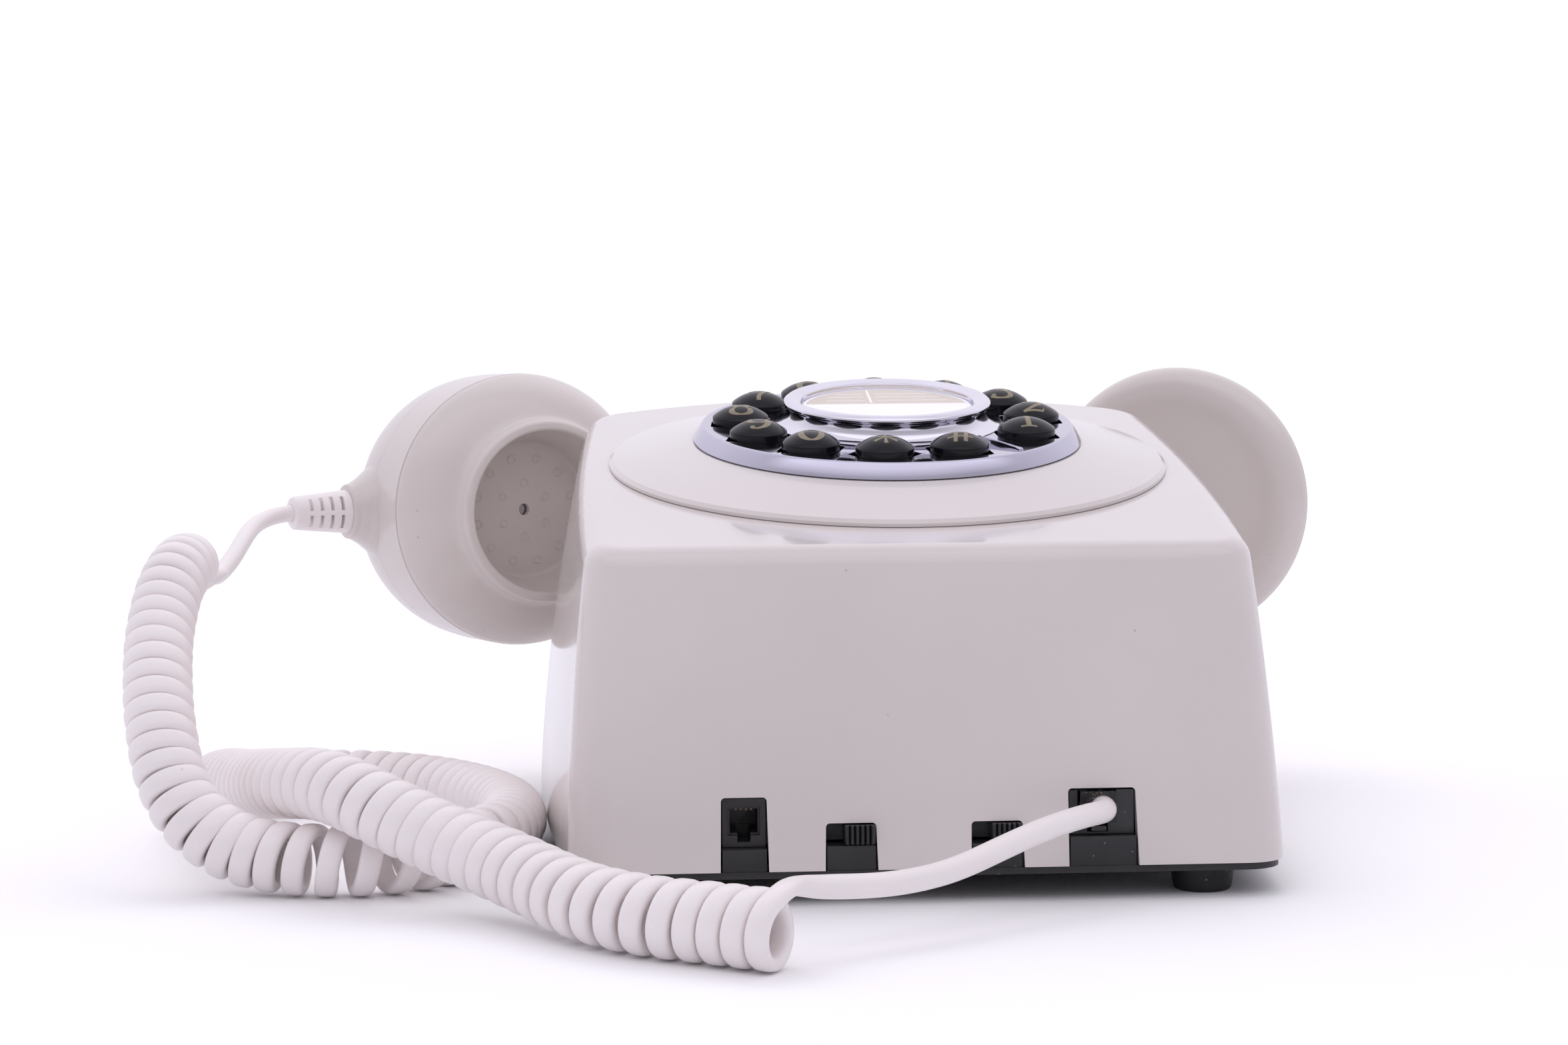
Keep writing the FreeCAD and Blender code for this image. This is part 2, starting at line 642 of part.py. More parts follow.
def make_plug():
    """Plug in the handset socket: block, latch tab under it, cord bore from the near end."""
    full = fuse("plug_solid", [
        box("plug_block", (29.7, 36.9), (-87.9, -75.5), (9.8, 16.05)),
        box("plug_tab", (31.9, 34.9), (-87.6, -77), (8.2, 9.1)),
        box("plug_tab_root", (31.9, 34.9), (-78, -76), (8.2, 10.0))])
    tools = [cylinder("plug_bore", at(CORD_X, -90, CORD_Z, ALONG_Y),
                      size.strand_radius + 0.2, 9.0)]
    pins = []
    for i in range(4):
        x = PLUG_SLOT_X + CONTACT_PITCH * i
        tools.append(box("plug_slot_%d" % i, (x, x + 0.46), (-79.5, -76.3), (14.9, 16.4)))
        pins.append(box("plug_pin_%d" % i, (x + 0.03, x + 0.4), (-79.3, -76.5), (15.0, 15.9)))
    piece(cut("plug_cut", full, fuse("plug_tools", tools)), "modular_plug")
    piece(group("plug_pins_group", pins), "plug_contacts")


def make_knob(label, left, right, top):
    """Slide-switch knob with five ribs on its near face."""
    parts = [box(label + "_core", (left, right), (-88.2, -83.1), (6.45, top))]
    for i in range(5):
        parts.append(box("%s_rib_%d" % (label, i), (right - 1.05 - i, right - 0.5 - i),
                         (-88.8, -88.1), (6.6, top - 0.1)))
    piece(fuse(label + "_fused", parts), label)


def make_switches():
    piece(group("switch_bodies_group", [
        box("switch_a", (-23.5, -8.0), (-82.8, -76), (6.6, 13.0)),
        box("switch_b", (5.3, 20.8), (-82.8, -76), (6.6, 13.0))]), "switch_bodies")
    make_knob("ringer_switch_knob", -17.1, -11.0, 10.3)
    make_knob("volume_switch_knob", 12.0, 17.95, 10.2)


# ---------------------------------------------------------------- bell
GONG_XS = (-31, 31)
GONG_Y = 6
CLAPPER_Y = -12          # pivot of the clapper
BRACKET_FACE = 3.9       # posts start here, just inside the bracket's plate


def make_bell_bracket():
    parts = [box("bell_base", (-44, 44), (-24, 26), (2.45, 4.0))]
    for i, x in enumerate(GONG_XS):
        parts.append(cylinder("gong_post_%d" % i, at(x, GONG_Y, BRACKET_FACE), 2.5, 20.0))
    parts.append(box("coil_leg", (-4, 4), (-23, -20.5), (BRACKET_FACE, 24)))
    parts.append(cylinder("clapper_post", at(0, CLAPPER_Y, BRACKET_FACE), 1.4, 16.0))
    piece(fuse("bell_bracket_fused", parts), "bell_bracket")


def make_gongs():
    rim, height, wall = size.gong_radius, size.gong_height, size.gong_wall
    for label, x in zip(("gong_left", "gong_right"), GONG_XS):
        revolve(new_body(label, at(x, GONG_Y, 10.0)), label + "_spun", [
            (rim, 0), (rim - 0.8, 5.0), (rim - 3.6, 10.0), (rim - 9.0, 13.4),
            (3.0, height), (2.6, height), (2.6, height - wall), (rim - 9.2, 13.4 - wall),
            (rim - 4.7, 10.0 - wall), (rim - 2.2, 5.0), (rim - wall, 0)])
    piece(group("gong_screws_group", [fuse("gong_screw_%d" % i, [
        cylinder("gong_screw_head_%d" % i, at(x, GONG_Y, 24.1), 4.0, 2.0),
        cylinder("gong_screw_tip_%d" % i, at(x, GONG_Y, 23.95), 1.0, 0.5)])
        for i, x in enumerate(GONG_XS)]), "gong_screws")


def make_coil_and_clapper():
    revolve(new_body("bell_coil", at(0, -20.4, 14.0, ALONG_Y)), "coil_wound", [
        (0, 0), (6.5, 0), (6.5, 0.8), (5.6, 0.8), (5.6, 4.1), (6.5, 4.1), (6.5, 4.9), (0, 4.9)])
    arm = box("clapper_arm", (-0.9, 0.9), (-10.0, 9.0), (14.4, 15.6))
    eye = cylinder("clapper_eye", at(0, CLAPPER_Y, 14.0), 3.2, 2.4)
    bore = cylinder("clapper_eye_bore", at(0, CLAPPER_Y, 13.0), 1.46, 5.0)
    ball = prim("Sphere", "clapper_ball", at(0, 11, 15.0), Radius=3.0)
    piece(cut("clapper_cut", fuse("clapper_fused", [arm, eye, ball]), bore), "clapper")


# ---------------------------------------------------------------- hook
SPRING_XS = (-22, 18)
SPRING_RADIUS = 2.5
PIN_START = 60
PIN_TIP = 102.7


def make_hook():
    """Bar with two pins that reach through the saddles, its bracket, springs and switch."""
    bar = box("hook_bar", (-42, 38), (57, 60.5), (63.4, 68.4))
    pins = [cylinder("hook_pin_%d" % i, at(x, PIN_START, size.set_z, ALONG_Y), 2.5,
                     PIN_TIP - PIN_START) for i, x in enumerate(HOOK_XS)]
    piece(fuse("hook_fused", [bar] + pins), "hook_plunger")
    frame = [box("hook_frame", (-30, 26), (42, 44), (2.45, 71)),
             box("hook_frame_foot", (-30, 26), (31, 42.5), (2.45, 4.4))]
    for i, x in enumerate(SPRING_XS):
        place = at(x, 43.5, size.set_z, ALONG_Y)
        frame.append(cylinder("spring_post_%d" % i, place, 1.6, 7.5))
    opening = box("hook_frame_key", (-5, 1), (30, 46), (1, 12))
    piece(cut("hook_frame_cut", fuse("hook_frame_fused", frame), opening), "hook_bracket")
    springs = []
    for x in SPRING_XS:
        helix = Part.Wire(Part.makeHelix(2.5, 10.0, SPRING_RADIUS).Edges)
        start = Vector(SPRING_RADIUS, 0, 0)
        section = Part.Wire([Part.makeCircle(0.35, start, Vector(0, 1, 0.16))])
        spring = helix.makePipeShell([section], True, True)
        spring.Placement = at(x, 45.2, size.set_z, ALONG_Y)
        springs.append(spring)
    solid_piece("hook_springs", Part.makeCompound(springs))
    piece(fuse("hook_switch_fused", [
        box("hook_switch_case", (-8, 4), (44.2, 52), (60, 70)),
        box("hook_switch_button", (-3, -1), (51.9, 56.6), (64, 67))]), "hook_switch")


# ---------------------------------------------------------------- handset
def bell_frame(x, side):
    """Frame whose +Z is the cap's outward axis, leaning to +X for side +1, -X for -1."""
    lean = math.radians(size.set_tilt)
    outward = Vector(side * math.sin(lean), -math.cos(lean), 0)
    return at(x, size.set_y, size.set_z, Rotation(Vector(0, 0, 1), outward))


MOUTH = bell_frame(size.mouth_x, 1)
EAR = bell_frame(size.ear_x, -1)
SET_HALF = (size.ear_x - size.mouth_x) / 2
BELL_SHOULDER = -15.0    # where the bell's cylinder turns into its dome
BELL_WALL = 2.7
HANDLE_CREST = 117.0     # Y of the handle's arch at its middle
HANDLE_DROP = 13.0       # fall of the arch to each end
# the cord leaves the mouth bell along this line, away from the ear
EXIT_DIR = Vector(*polar(-1.0, size.set_tilt), 0)
EXIT_START = MOUTH.multVec(Vector(0, 0, -20.5))
EXIT_BORE = 2.2
BOOT_TIP_RADIUS = 4.2


def along_exit(distance):
    return EXIT_START + EXIT_DIR * distance


def make_mouth_cap():
    rim, lip, height = size.cap_radius, size.cup_rim, size.cup_height
    revolve(new_body("mouth_cap", MOUTH), "mouth_turned", [
        (size.mic_hole, 1.4), (size.cup_floor, 1.4), (lip - 0.9, height - 0.5),
        (lip - 0.4, height), (lip, height - 0.2), (23.5, 11.9), (27.5, 9.4), (31.2, 6.3),
        (rim - 1.1, 3.3), (rim - 0.2, 1.5), (rim, 0.15), (rim - 2.8, 0.15),
        (rim - 2.8, -6.0), (rim - 4.8, -6.0), (rim - 4.8, 1.8), (24.6, 7.6), (21.8, 8.6),
        (19.6, -0.4), (size.mic_hole, -0.4)])


def make_ear_cap():
    """Shallow cap with a pierced disc at its middle."""
    rim = size.cap_radius
    body = new_body("ear_cap", EAR)
    revolve(body, "ear_turned", [
        (3.2, 3.9), (14.0, 4.3), (24.0, 5.3), (29.5, 5.4), (rim - 2.0, 4.0),
        (rim - 0.5, 2.2), (rim, 0.15), (rim - 2.8, 0.15), (rim - 2.8, -6.0),
        (rim - 4.8, -6.0), (rim - 4.8, 2.4), (24.0, 3.2), (14.0, 2.3), (3.2, 1.9)])
    sketch = new_sketch(body, "ear_grid", offset=1.6)
    circle(sketch, 0, 0, 4.2)
    for degrees in range(0, 360, 60):
        circle(sketch, *polar(2.4, degrees), 0.6)
    extrude("Pad", body, "ear_grid_plate", sketch, 2.0)


def bell_solid(radius, tip, start, place):
    """Turned bell: cylinder from start to the shoulder, then a dome to tip."""
    drop = tip - BELL_SHOULDER
    shoulder = Vector(radius, 0, BELL_SHOULDER)
    # (share of the radius, share of the drop) along the dome
    dome = [Vector(radius * out, 0, BELL_SHOULDER + drop * down)
            for out, down in ((0.93, 0.36), (0.76, 0.66), (0.42, 0.92))]
    curve = Part.BSplineCurve()
    curve.interpolate([shoulder] + dome + [Vector(0, 0, tip)],
                      InitialTangent=Vector(-0.12, 0, -1), FinalTangent=Vector(-1, 0, 0))
    centre, rim = Vector(0, 0, start), Vector(radius, 0, start)
    wire = Part.Wire([Part.LineSegment(rim, shoulder).toShape(), curve.toShape(),
                      Part.LineSegment(Vector(0, 0, tip), centre).toShape(),
                      Part.LineSegment(centre, rim).toShape()])
    bell = Part.Face(wire).revolve(Vector(0, 0, 0), Vector(0, 0, 1), 360)
    bell.Placement = place
    return bell


def handle(half_depth, half_height, inset):
    """Bar through five elliptic sections along a shallow arch from bell to bell."""
    span = SET_HALF - inset
    wires = []
    for share in (-1.0, -0.55, 0.0, 0.55, 1.0):
        ellipse = Part.Ellipse(Vector(0, 0, 0), half_height, half_depth)
        wire = Part.Wire([ellipse.toShape()])
        heading = math.degrees(math.atan(-2 * HANDLE_DROP * share / span))
        turn = Rotation(Vector(0, 0, 1), heading).multiply(Rotation(Vector(0, 1, 0), -90))
        wire.Placement = at(SET_MIDDLE_X + share * span,
                            HANDLE_CREST - HANDLE_DROP * share * share, size.set_z, turn)
        wires.append(wire)
    return Part.makeLoft(wires, True, False)


def make_handset_shell():
    outer, inner = size.cap_radius, size.cap_radius - BELL_WALL
    shell = bell_solid(outer, -35.8, 0.0, MOUTH).fuse(bell_solid(outer, -35.8, 0.0, EAR))
    shell = shell.fuse(handle(11.0, 16.0, 3.0))
    mouth_hollow = bell_solid(inner, -33.4, 1.0, MOUTH)
    shell = shell.cut(mouth_hollow.fuse(bell_solid(inner, -33.4, 1.0, EAR)))
    shell = shell.cut(handle(8.4, 13.4, 12.0))
    # spigot on the mouth bell, just short of the boot
    spigot = Part.makeCone(10.5, 6.6, 9.0, along_exit(31.0), EXIT_DIR).cut(mouth_hollow)
    bore = Part.makeCylinder(EXIT_BORE, 16, along_exit(27.0), EXIT_DIR)
    solid_piece("handset_shell", shell.fuse(spigot).cut(bore).removeSplitter())


def make_boot():
    """Tapered sleeve on the cord, with four rows of grooves."""
    boot = Part.makeCone(5.6, BOOT_TIP_RADIUS, 14.6, along_exit(40.05), EXIT_DIR)
    boot = boot.cut(Part.makeCylinder(EXIT_BORE, 20, along_exit(38), EXIT_DIR))
    boot = boot.makeFillet(0.9, [e for e in boot.Edges if e.Curve.TypeId == "Part::GeomCircle"
                                 and abs(e.Curve.Radius - BOOT_TIP_RADIUS) < 0.01])
    across = EXIT_DIR.cross(Vector(0, 0, 1))
    heading = Rotation(Vector(0, 0, 1), math.degrees(math.atan2(EXIT_DIR.y, EXIT_DIR.x)))
    for i in range(4):
        for quarter_turn in (90, -90):
            turn = heading.multiply(Rotation(Vector(1, 0, 0), quarter_turn))
            for side in (1, -1):
                groove = Part.makeBox(0.9, 3.4, 3.0, Vector(-0.45, 0.6, -1.5))
                groove.Placement = Placement(
                    along_exit(42.6 + 2.7 * i) + across * (side * 4.4), turn)
                boot = boot.cut(groove)
    solid_piece("strain_relief_boot", boot)


# turned pieces inside the bells: (label, frame, feature name, (radius, height) outline)
INSIDE_BELLS = [
    ("microphone_holder", MOUTH, "microphone_holder_turned",
     [(6.2, -0.6), (18.8, -0.6), (18.8, -3.0), (9.0, -3.0), (9.0, -8.0), (6.2, -8.0)]),
    ("microphone_capsule", MOUTH, "microphone_turned",
     [(0, -1.0), (4.9, -1.0), (4.9, -6.6), (0, -6.6)]),
    ("receiver_capsule", EAR, "receiver_turned",
     [(0, 0.6), (17.5, 0.6), (17.5, -1.4), (14.0, -1.4), (14.0, -8.0), (0, -8.0)]),
    ("receiver_holder", EAR, "receiver_holder_turned",
     [(17.8, 1.6), (23.0, 2.0), (23.0, -3.6), (14.3, -3.6), (14.3, -1.7), (17.8, -1.7)]),
]


def make_inside_bells():
    for label, frame, feature_name, points in INSIDE_BELLS:
        revolve(new_body(label, frame), feature_name, points)
    weights = [cylinder("weight_%d" % i, frame.multiply(at(0, 0, -22)), 14.0, 3.0)
               for i, frame in enumerate((MOUTH, EAR))]
    piece(group("bell_weights_group", weights), "balance_weights")


# ---------------------------------------------------------------- cord
# (x, y, z) along the coiled run, from the handset lead to the base lead
COIL = [
    (-159.7, 7.5, 57.4), (-159.1, 0.5, 57.7), (-159.0, -6.5, 57.0), (-159.7, -14.5, 53.9),
    (-160.1, -22.0, 48.8), (-159.9, -30.0, 42.6), (-159.1, -36.5, 37.1), (-157.8, -43.5, 30.3),
    (-156.2, -49.0, 24.5), (-154.2, -54.0, 18.8), (-151.4, -58.0, 13.8), (-147.8, -61.0, 9.6),
    (-143.8, -63.0, 6.6), (-138.7, -64.8, 4.2), (-133.0, -66.5, 2.9), (-120.3, -69.5, 2.12),
    (-108.4, -68.5, 2.12), (-97.5, -60.0, 2.12), (-89.0, -46.0, 2.12), (-85.2, -28.0, 2.12),
    (-86.5, -8.0, 2.12), (-92.5, 10.0, 2.12), (-102.0, 26.0, 2.12), (-114.5, 38.5, 2.12),
    (-129.5, 45.0, 2.12), (-144.0, 43.0, 2.12), (-154.5, 33.0, 2.12), (-157.0, 17.0, 4.2),
    (-151.4, -0.7, 8.6), (-142.7, -22.7, 11.5), (-134.6, -43.6, 14.3), (-127.4, -59.4, 16.4),
    (-121.3, -68.4, 17.3), (-116.0, -74.6, 16.6), (-110.6, -79.6, 14.9), (-104.8, -83.4, 12.6),
    (-98.7, -87.0, 10.2), (-92.5, -91.2, 8.1), (-86.5, -96.2, 6.4), (-80.2, -103.2, 4.9),
    (-68.0, -121.5, 2.8), (-53.0, -136.2, 2.12), (-46.0, -141.4, 2.12), (-39.6, -146.7, 2.12),
    (-33.9, -152.2, 2.12)]
# plain lead from just beyond the boot down to the coil
HANDSET_LEAD = [
    along_exit(54.9), (-147.3, 72.6, 65.6), (-150.0, 67.5, 64.8), (-151.9, 58.0, 63.2),
    (-152.6, 48.0, 60.9), (-153.6, 35.0, 57.0), (-154.6, 23.0, 54.3), (-155.4, 9.2, 52.6)]
# plain lead from the coil into the plug
BASE_LEAD = [
    (-26.3, -150.5, 4.4), (-22.5, -140.0, 6.6), (-12.8, -130.0, 6.2), (-1.2, -123.0, 6.9),
    (9.6, -114.0, 9.2), (22.5, -104.0, 12.2), (30.4, -97.2, 13.0), (33.4, -92.6, 12.85),
    (CORD_X, -88.6, CORD_Z), (CORD_X, -84.0, CORD_Z)]


def tube(points, outer, bore=0.0):
    """Round tube swept along a smooth curve through the points; solid if bore is 0."""
    curve = Part.BSplineCurve()
    curve.interpolate([Vector(*p) for p in points])
    path = Part.Wire([curve.toShape()])
    tangent = curve.tangent(curve.FirstParameter)[0]
    start = curve.value(curve.FirstParameter)

    def sweep(radius, closed):
        section = Part.Wire([Part.makeCircle(radius, start, tangent)])
        return path.makePipeShell([section], closed, False)

    if bore <= 0:
        return sweep(outer, True)

    # outer skin, inner skin turned inside out, a ring at each end
    skins = [sweep(outer, False).Faces[0], sweep(bore, False).Faces[0]]
    rims = [sorted([e for e in skin.Edges if e.isClosed()],
                   key=lambda e: (e.CenterOfMass - start).Length) for skin in skins]
    rings = []
    for end in (0, -1):
        hole = Part.Wire([rims[1][end]])
        hole.reverse()
        ring = Part.Face([Part.Wire([rims[0][end]]), hole])
        if not ring.isValid():
            ring.validate()
        rings.append(ring)
    skins[1].reverse()
    shell = Part.Shell(skins + rings)
    shell.sewShape()
    return Part.Solid(shell)


def make_cord():
    solid_piece("cord_coil", tube(COIL, size.coil_radius, size.coil_bore))
    solid_piece("cord_lead_handset", tube(HANDSET_LEAD, size.lead_radius))
    solid_piece("cord_lead_base", tube(BASE_LEAD, size.strand_radius))


# ---------------------------------------------------------------- build, check and export
for make in (make_surround, make_ring, make_hub, make_key_guide, make_keys, make_mat,
             make_keypad_board, make_upper_housing, make_base_plate, make_feet,
             make_all_screws, make_main_board, make_board_components, make_line_socket,
             make_handset_socket, make_plug, make_switches, make_bell_bracket, make_gongs,
             make_coil_and_clapper, make_hook, make_mouth_cap, make_ear_cap,
             make_handset_shell, make_boot, make_inside_bells, make_cord):
    make()
doc.recompute()

bad = [obj.Name + " " + str(obj.State) for obj in doc.Objects
       if any(state in ("Invalid", "Error") for state in obj.State)]
for obj in pieces:
    if obj.Shape.isNull() or not obj.Shape.isValid() or not obj.Shape.Solids:
        bad.append(obj.Label + " shape")
if bad:
    raise RuntimeError("bad objects: " + "; ".join(bad))
os.makedirs("parts", exist_ok=True)
for obj in pieces:
    obj.Shape.exportStep("parts/%s.step" % obj.Label)
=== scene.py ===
# Desk telephone: twelve keys set round a chrome dial ring, a handset lying across the back, and
# a curled cord that drops from the handset at the left and loops round to the front edge.
# +Z is up, -Y is the front (towards the camera) and -X is the left. The base underside is Z = 0.
# The scene is in metres; profiles and tables are in millimetres unless a comment says otherwise.
import bpy, bmesh, math
import numpy as np
from mathutils import Vector, Matrix

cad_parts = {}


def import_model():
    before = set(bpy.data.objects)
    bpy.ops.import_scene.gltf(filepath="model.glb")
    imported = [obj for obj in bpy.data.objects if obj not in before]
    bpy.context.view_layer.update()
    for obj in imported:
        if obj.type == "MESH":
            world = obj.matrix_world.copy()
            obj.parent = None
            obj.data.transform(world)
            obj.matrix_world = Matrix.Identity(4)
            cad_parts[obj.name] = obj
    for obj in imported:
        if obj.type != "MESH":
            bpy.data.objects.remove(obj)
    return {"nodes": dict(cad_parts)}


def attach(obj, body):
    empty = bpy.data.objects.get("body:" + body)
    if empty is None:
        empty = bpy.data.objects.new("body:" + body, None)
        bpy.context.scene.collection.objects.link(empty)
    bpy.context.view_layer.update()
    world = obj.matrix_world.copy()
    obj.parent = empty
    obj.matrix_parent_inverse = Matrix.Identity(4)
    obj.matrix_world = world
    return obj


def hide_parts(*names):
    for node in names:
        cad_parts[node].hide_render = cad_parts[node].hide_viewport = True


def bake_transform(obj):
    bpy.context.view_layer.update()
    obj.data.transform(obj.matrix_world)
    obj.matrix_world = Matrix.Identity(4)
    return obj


CAD_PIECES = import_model()["nodes"]
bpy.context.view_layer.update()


# ------------------------------------------------------------------ driving sizes and frames
def mm(x, y, z):
    """Point given in millimetres."""
    return Vector((x / 1000, y / 1000, z / 1000))


def axes_frame(origin, x_axis, y_axis, z_axis):
    return Matrix.Translation(origin) @ Matrix((x_axis, y_axis, z_axis)).transposed().to_4x4()


def polar(radius, degrees):
    angle = math.radians(degrees)
    return radius * math.cos(angle), radius * math.sin(angle)


DIAL_TILT = Matrix.Rotation(math.radians(11.0), 4, "X")   # the dial leans towards the front
DIAL = Matrix.Translation(mm(0, 0, 88.2)) @ DIAL_TILT

MOUTH_X, EAR_X = -86.6, 82.7
CUP_Y, HANDSET_Z = 82.0, 65.9
CUP_TURN = math.radians(27.4)     # each cup faces the front, turned this far towards the other


def cup_frame(x, side):
    """Frame of a handset cup: local Z is the way it faces. side is 1 at the left, -1 at the right."""
    facing = Vector((side * math.sin(CUP_TURN), -math.cos(CUP_TURN), 0))
    across = Vector((math.cos(CUP_TURN), side * math.sin(CUP_TURN), 0))
    return axes_frame(mm(x, CUP_Y, HANDSET_Z), across, facing.cross(across), facing)


MOUTH, EAR = cup_frame(MOUTH_X, 1), cup_frame(EAR_X, -1)

# the cord boot leaves the mouthpiece cup sideways, to the left and front
BOOT_DIR = -MOUTH.col[0].to_3d()
BOOT_ORIGIN = MOUTH @ mm(0, 0, -20.5)
BOOT_TIP = 54.9                   # distance from the boot origin to its tip
UP = Vector((0, 0, 1))
BOOT = axes_frame(BOOT_ORIGIN, UP.cross(BOOT_DIR).normalized(), UP, BOOT_DIR)

KEYS = ["1", "2", "3", "4", "5", "6", "7", "8", "9", "0", "star", "hash"]
KEY_CIRCLE = 33.3                 # radius of the circle the keys stand on
KEY_START, KEY_STEP = -26.0, 29.0   # degrees, anticlockwise from the dial's +X
FOOT_DEPTH = 5.4                  # how far the feet reach below the base


def key_centre(i):
    return polar(KEY_CIRCLE, KEY_START + KEY_STEP * i)


# ------------------------------------------------------------------ shader helpers
def rgba(color):
    return (*color, 1.0)


def shade(color, factor, lift=0.0):
    return tuple(v * factor + lift for v in color)


class Graph:
    """Adds nodes to one shader tree. An input may be a plain value or another node's output."""

    def __init__(self, tree):
        self.tree = tree

    def feed(self, socket, value):
        if isinstance(value, bpy.types.NodeSocket):
            self.tree.links.new(value, socket)
        else:
            socket.default_value = value

    def add(self, kind, inputs=None, **settings):
        node = self.tree.nodes.new("ShaderNode" + kind)
        for key, value in settings.items():
            setattr(node, key, value)
        for key, value in (inputs or {}).items():
            self.feed(node.inputs[key], value)
        return node

    def calc(self, operation, *values):
        return self.add("Math", dict(enumerate(values)), operation=operation).outputs[0]

    def ramp(self, source, from_range, to_range):
        """Linear map of one range on to another, clamped."""
        return self.add("MapRange", {
            "From Min": from_range[0], "From Max": from_range[1],
            "To Min": to_range[0], "To Max": to_range[1], "Value": source}).outputs[0]

    def mix(self, factor, a, b):
        a, b = (rgba(v) if isinstance(v, tuple) else v for v in (a, b))
        node = self.add("Mix", {"A": a, "B": b, "Factor": factor}, data_type="RGBA")
        return node.outputs["Result"]

    def noise(self, scale, detail, roughness=0.5, vector=None):
        return self.add("TexNoise", {
            "Scale": scale, "Detail": detail, "Roughness": roughness,
            "Vector": vector or self.coords}).outputs["Fac"]

    def vary(self, scale, detail, low, high, between=(0.3, 0.7), roughness=0.5):
        """Value that wanders from low to high as the noise crosses the between range."""
        return self.ramp(self.noise(scale, detail, roughness), between, (low, high))

    def mottle(self, a, b, scale, detail, between=(0.35, 0.65)):
        """Color that wanders from a to b."""
        return self.mix(self.vary(scale, detail, 0, 1, between), a, b)

    def bump(self, height, strength, distance, normal=None):
        inputs = {"Strength": strength, "Distance": distance, "Height": height}
        if normal is not None:
            inputs["Normal"] = normal
        return self.add("Bump", inputs).outputs[0]

    def specks(self, scale, size):
        """Sparse tiny round marks: 1 at a mark, 0 elsewhere."""
        cells = self.add("TexVoronoi", {"Scale": scale, "Vector": self.coords})
        near = self.ramp(cells.outputs["Distance"], (size * 0.6, size), (1.0, 0.0))
        parts = self.add("SeparateColor", {0: cells.outputs["Color"]})
        rare = self.ramp(parts.outputs[0], (0.93, 0.95), (0.0, 1.0))
        return self.calc("MULTIPLY", near, rare)

    def mix_shader(self, factor, a, b):
        return self.add("MixShader", {0: factor, 1: a.outputs[0], 2: b.outputs[0]})

    def surface(self, shader):
        self.feed(self.output.inputs[0], shader.outputs[0])


def new_material(name):
    material = bpy.data.materials.new(name)
    material.use_nodes = True
    graph = Graph(material.node_tree)
    graph.tree.nodes.clear()
    graph.output = graph.add("OutputMaterial")
    graph.coords = graph.add("TexCoord").outputs["Object"]
    return material, graph


# ------------------------------------------------------------------ kinds of material
# rough: mean roughness; vary: relative spread of the color; distances of bumps are in metres
def gloss_plastic(name, color, rough, coat, vary=0.02, peel=0.00008, scatter=0.0, worn=0.05,
                  specular=0.5):
    """Polished plastic with paler edges (worn), dark specks and a faint waviness (peel)."""
    material, g = new_material(name)
    base = g.mottle(shade(color, 1 - vary), shade(color, 1 + vary), scale=22, detail=3)
    edge = g.ramp(g.add("NewGeometry").outputs["Pointiness"], (0.52, 0.60), (0.0, worn))
    base = g.mix(edge, base, tuple(min(1.0, v) for v in shade(color, 1.12)))
    marks = g.ramp(g.specks(scale=260, size=0.09), (0, 1), (0, 0.5))
    base = g.mix(marks, base, shade(color, 0.55))
    smear = g.vary(scale=9, detail=4, low=rough * 0.8, high=rough * 1.35, roughness=0.6)
    waves = g.bump(g.noise(scale=120, detail=1), strength=0.10, distance=peel)
    grain = g.bump(g.noise(scale=1800, detail=2), strength=0.12, distance=0.00002, normal=waves)
    shader = g.add("BsdfPrincipled", {
        "Base Color": base, "Roughness": smear, "Coat Weight": coat, "Coat Roughness": 0.04,
        "IOR": 1.52, "Specular IOR Level": specular, "Normal": grain})
    if scatter:
        shader.inputs["Subsurface Weight"].default_value = scatter
        shader.inputs["Subsurface Radius"].default_value = (1.0, 0.7, 0.5)
        shader.inputs["Subsurface Scale"].default_value = 0.0015
    g.surface(shader)
    return material


def satin_plastic(name, color, rough=0.42, grain=2600, depth=0.00003, vary=0.12, dust=0.06):
    """Fine-grained matt plastic with paler edges and grey dust; grain is a noise scale."""
    material, g = new_material(name)
    base = g.mottle(shade(color, 1 - vary), shade(color, 1 + vary), scale=60, detail=4,
                    between=(0.3, 0.7))
    edge = g.ramp(g.add("NewGeometry").outputs["Pointiness"], (0.51, 0.60), (0.0, 0.35))
    base = g.mix(edge, base, shade(color, 1.6, lift=0.02))
    fluff = g.ramp(g.specks(scale=900, size=0.22), (0, 1), (0, dust * 4))
    base = g.mix(fluff, base, (0.45, 0.45, 0.46))
    g.surface(g.add("BsdfPrincipled", {
        "Base Color": base,
        "Roughness": g.vary(scale=300, detail=3, low=rough * 0.8, high=rough * 1.25),
        "Normal": g.bump(g.noise(grain, detail=3, roughness=0.6), strength=0.35,
                         distance=depth)}))
    return material


def metal(name, color, rough, brushed=False, scratch=0.15):
    """Bare metal with scratches drawn out across local X."""
    material, g = new_material(name)
    base = g.mottle(shade(color, 0.95), color, scale=30, detail=3)
    smear = g.vary(scale=55, detail=5, low=rough * 0.7, high=rough * 1.9, between=(0.35, 0.75),
                   roughness=0.65)
    stretch = (6000, 60, 60) if brushed else (1400, 90, 90)
    lines = g.add("Mapping", {"Scale": stretch, "Vector": g.coords}).outputs[0]
    normal = g.bump(g.noise(scale=1.0, detail=3, vector=lines), strength=scratch,
                    distance=0.00002 if brushed else 0.000004)
    g.surface(g.add("BsdfPrincipled", {
        "Metallic": 1.0, "Base Color": base, "Roughness": smear, "Normal": normal}))
    return material


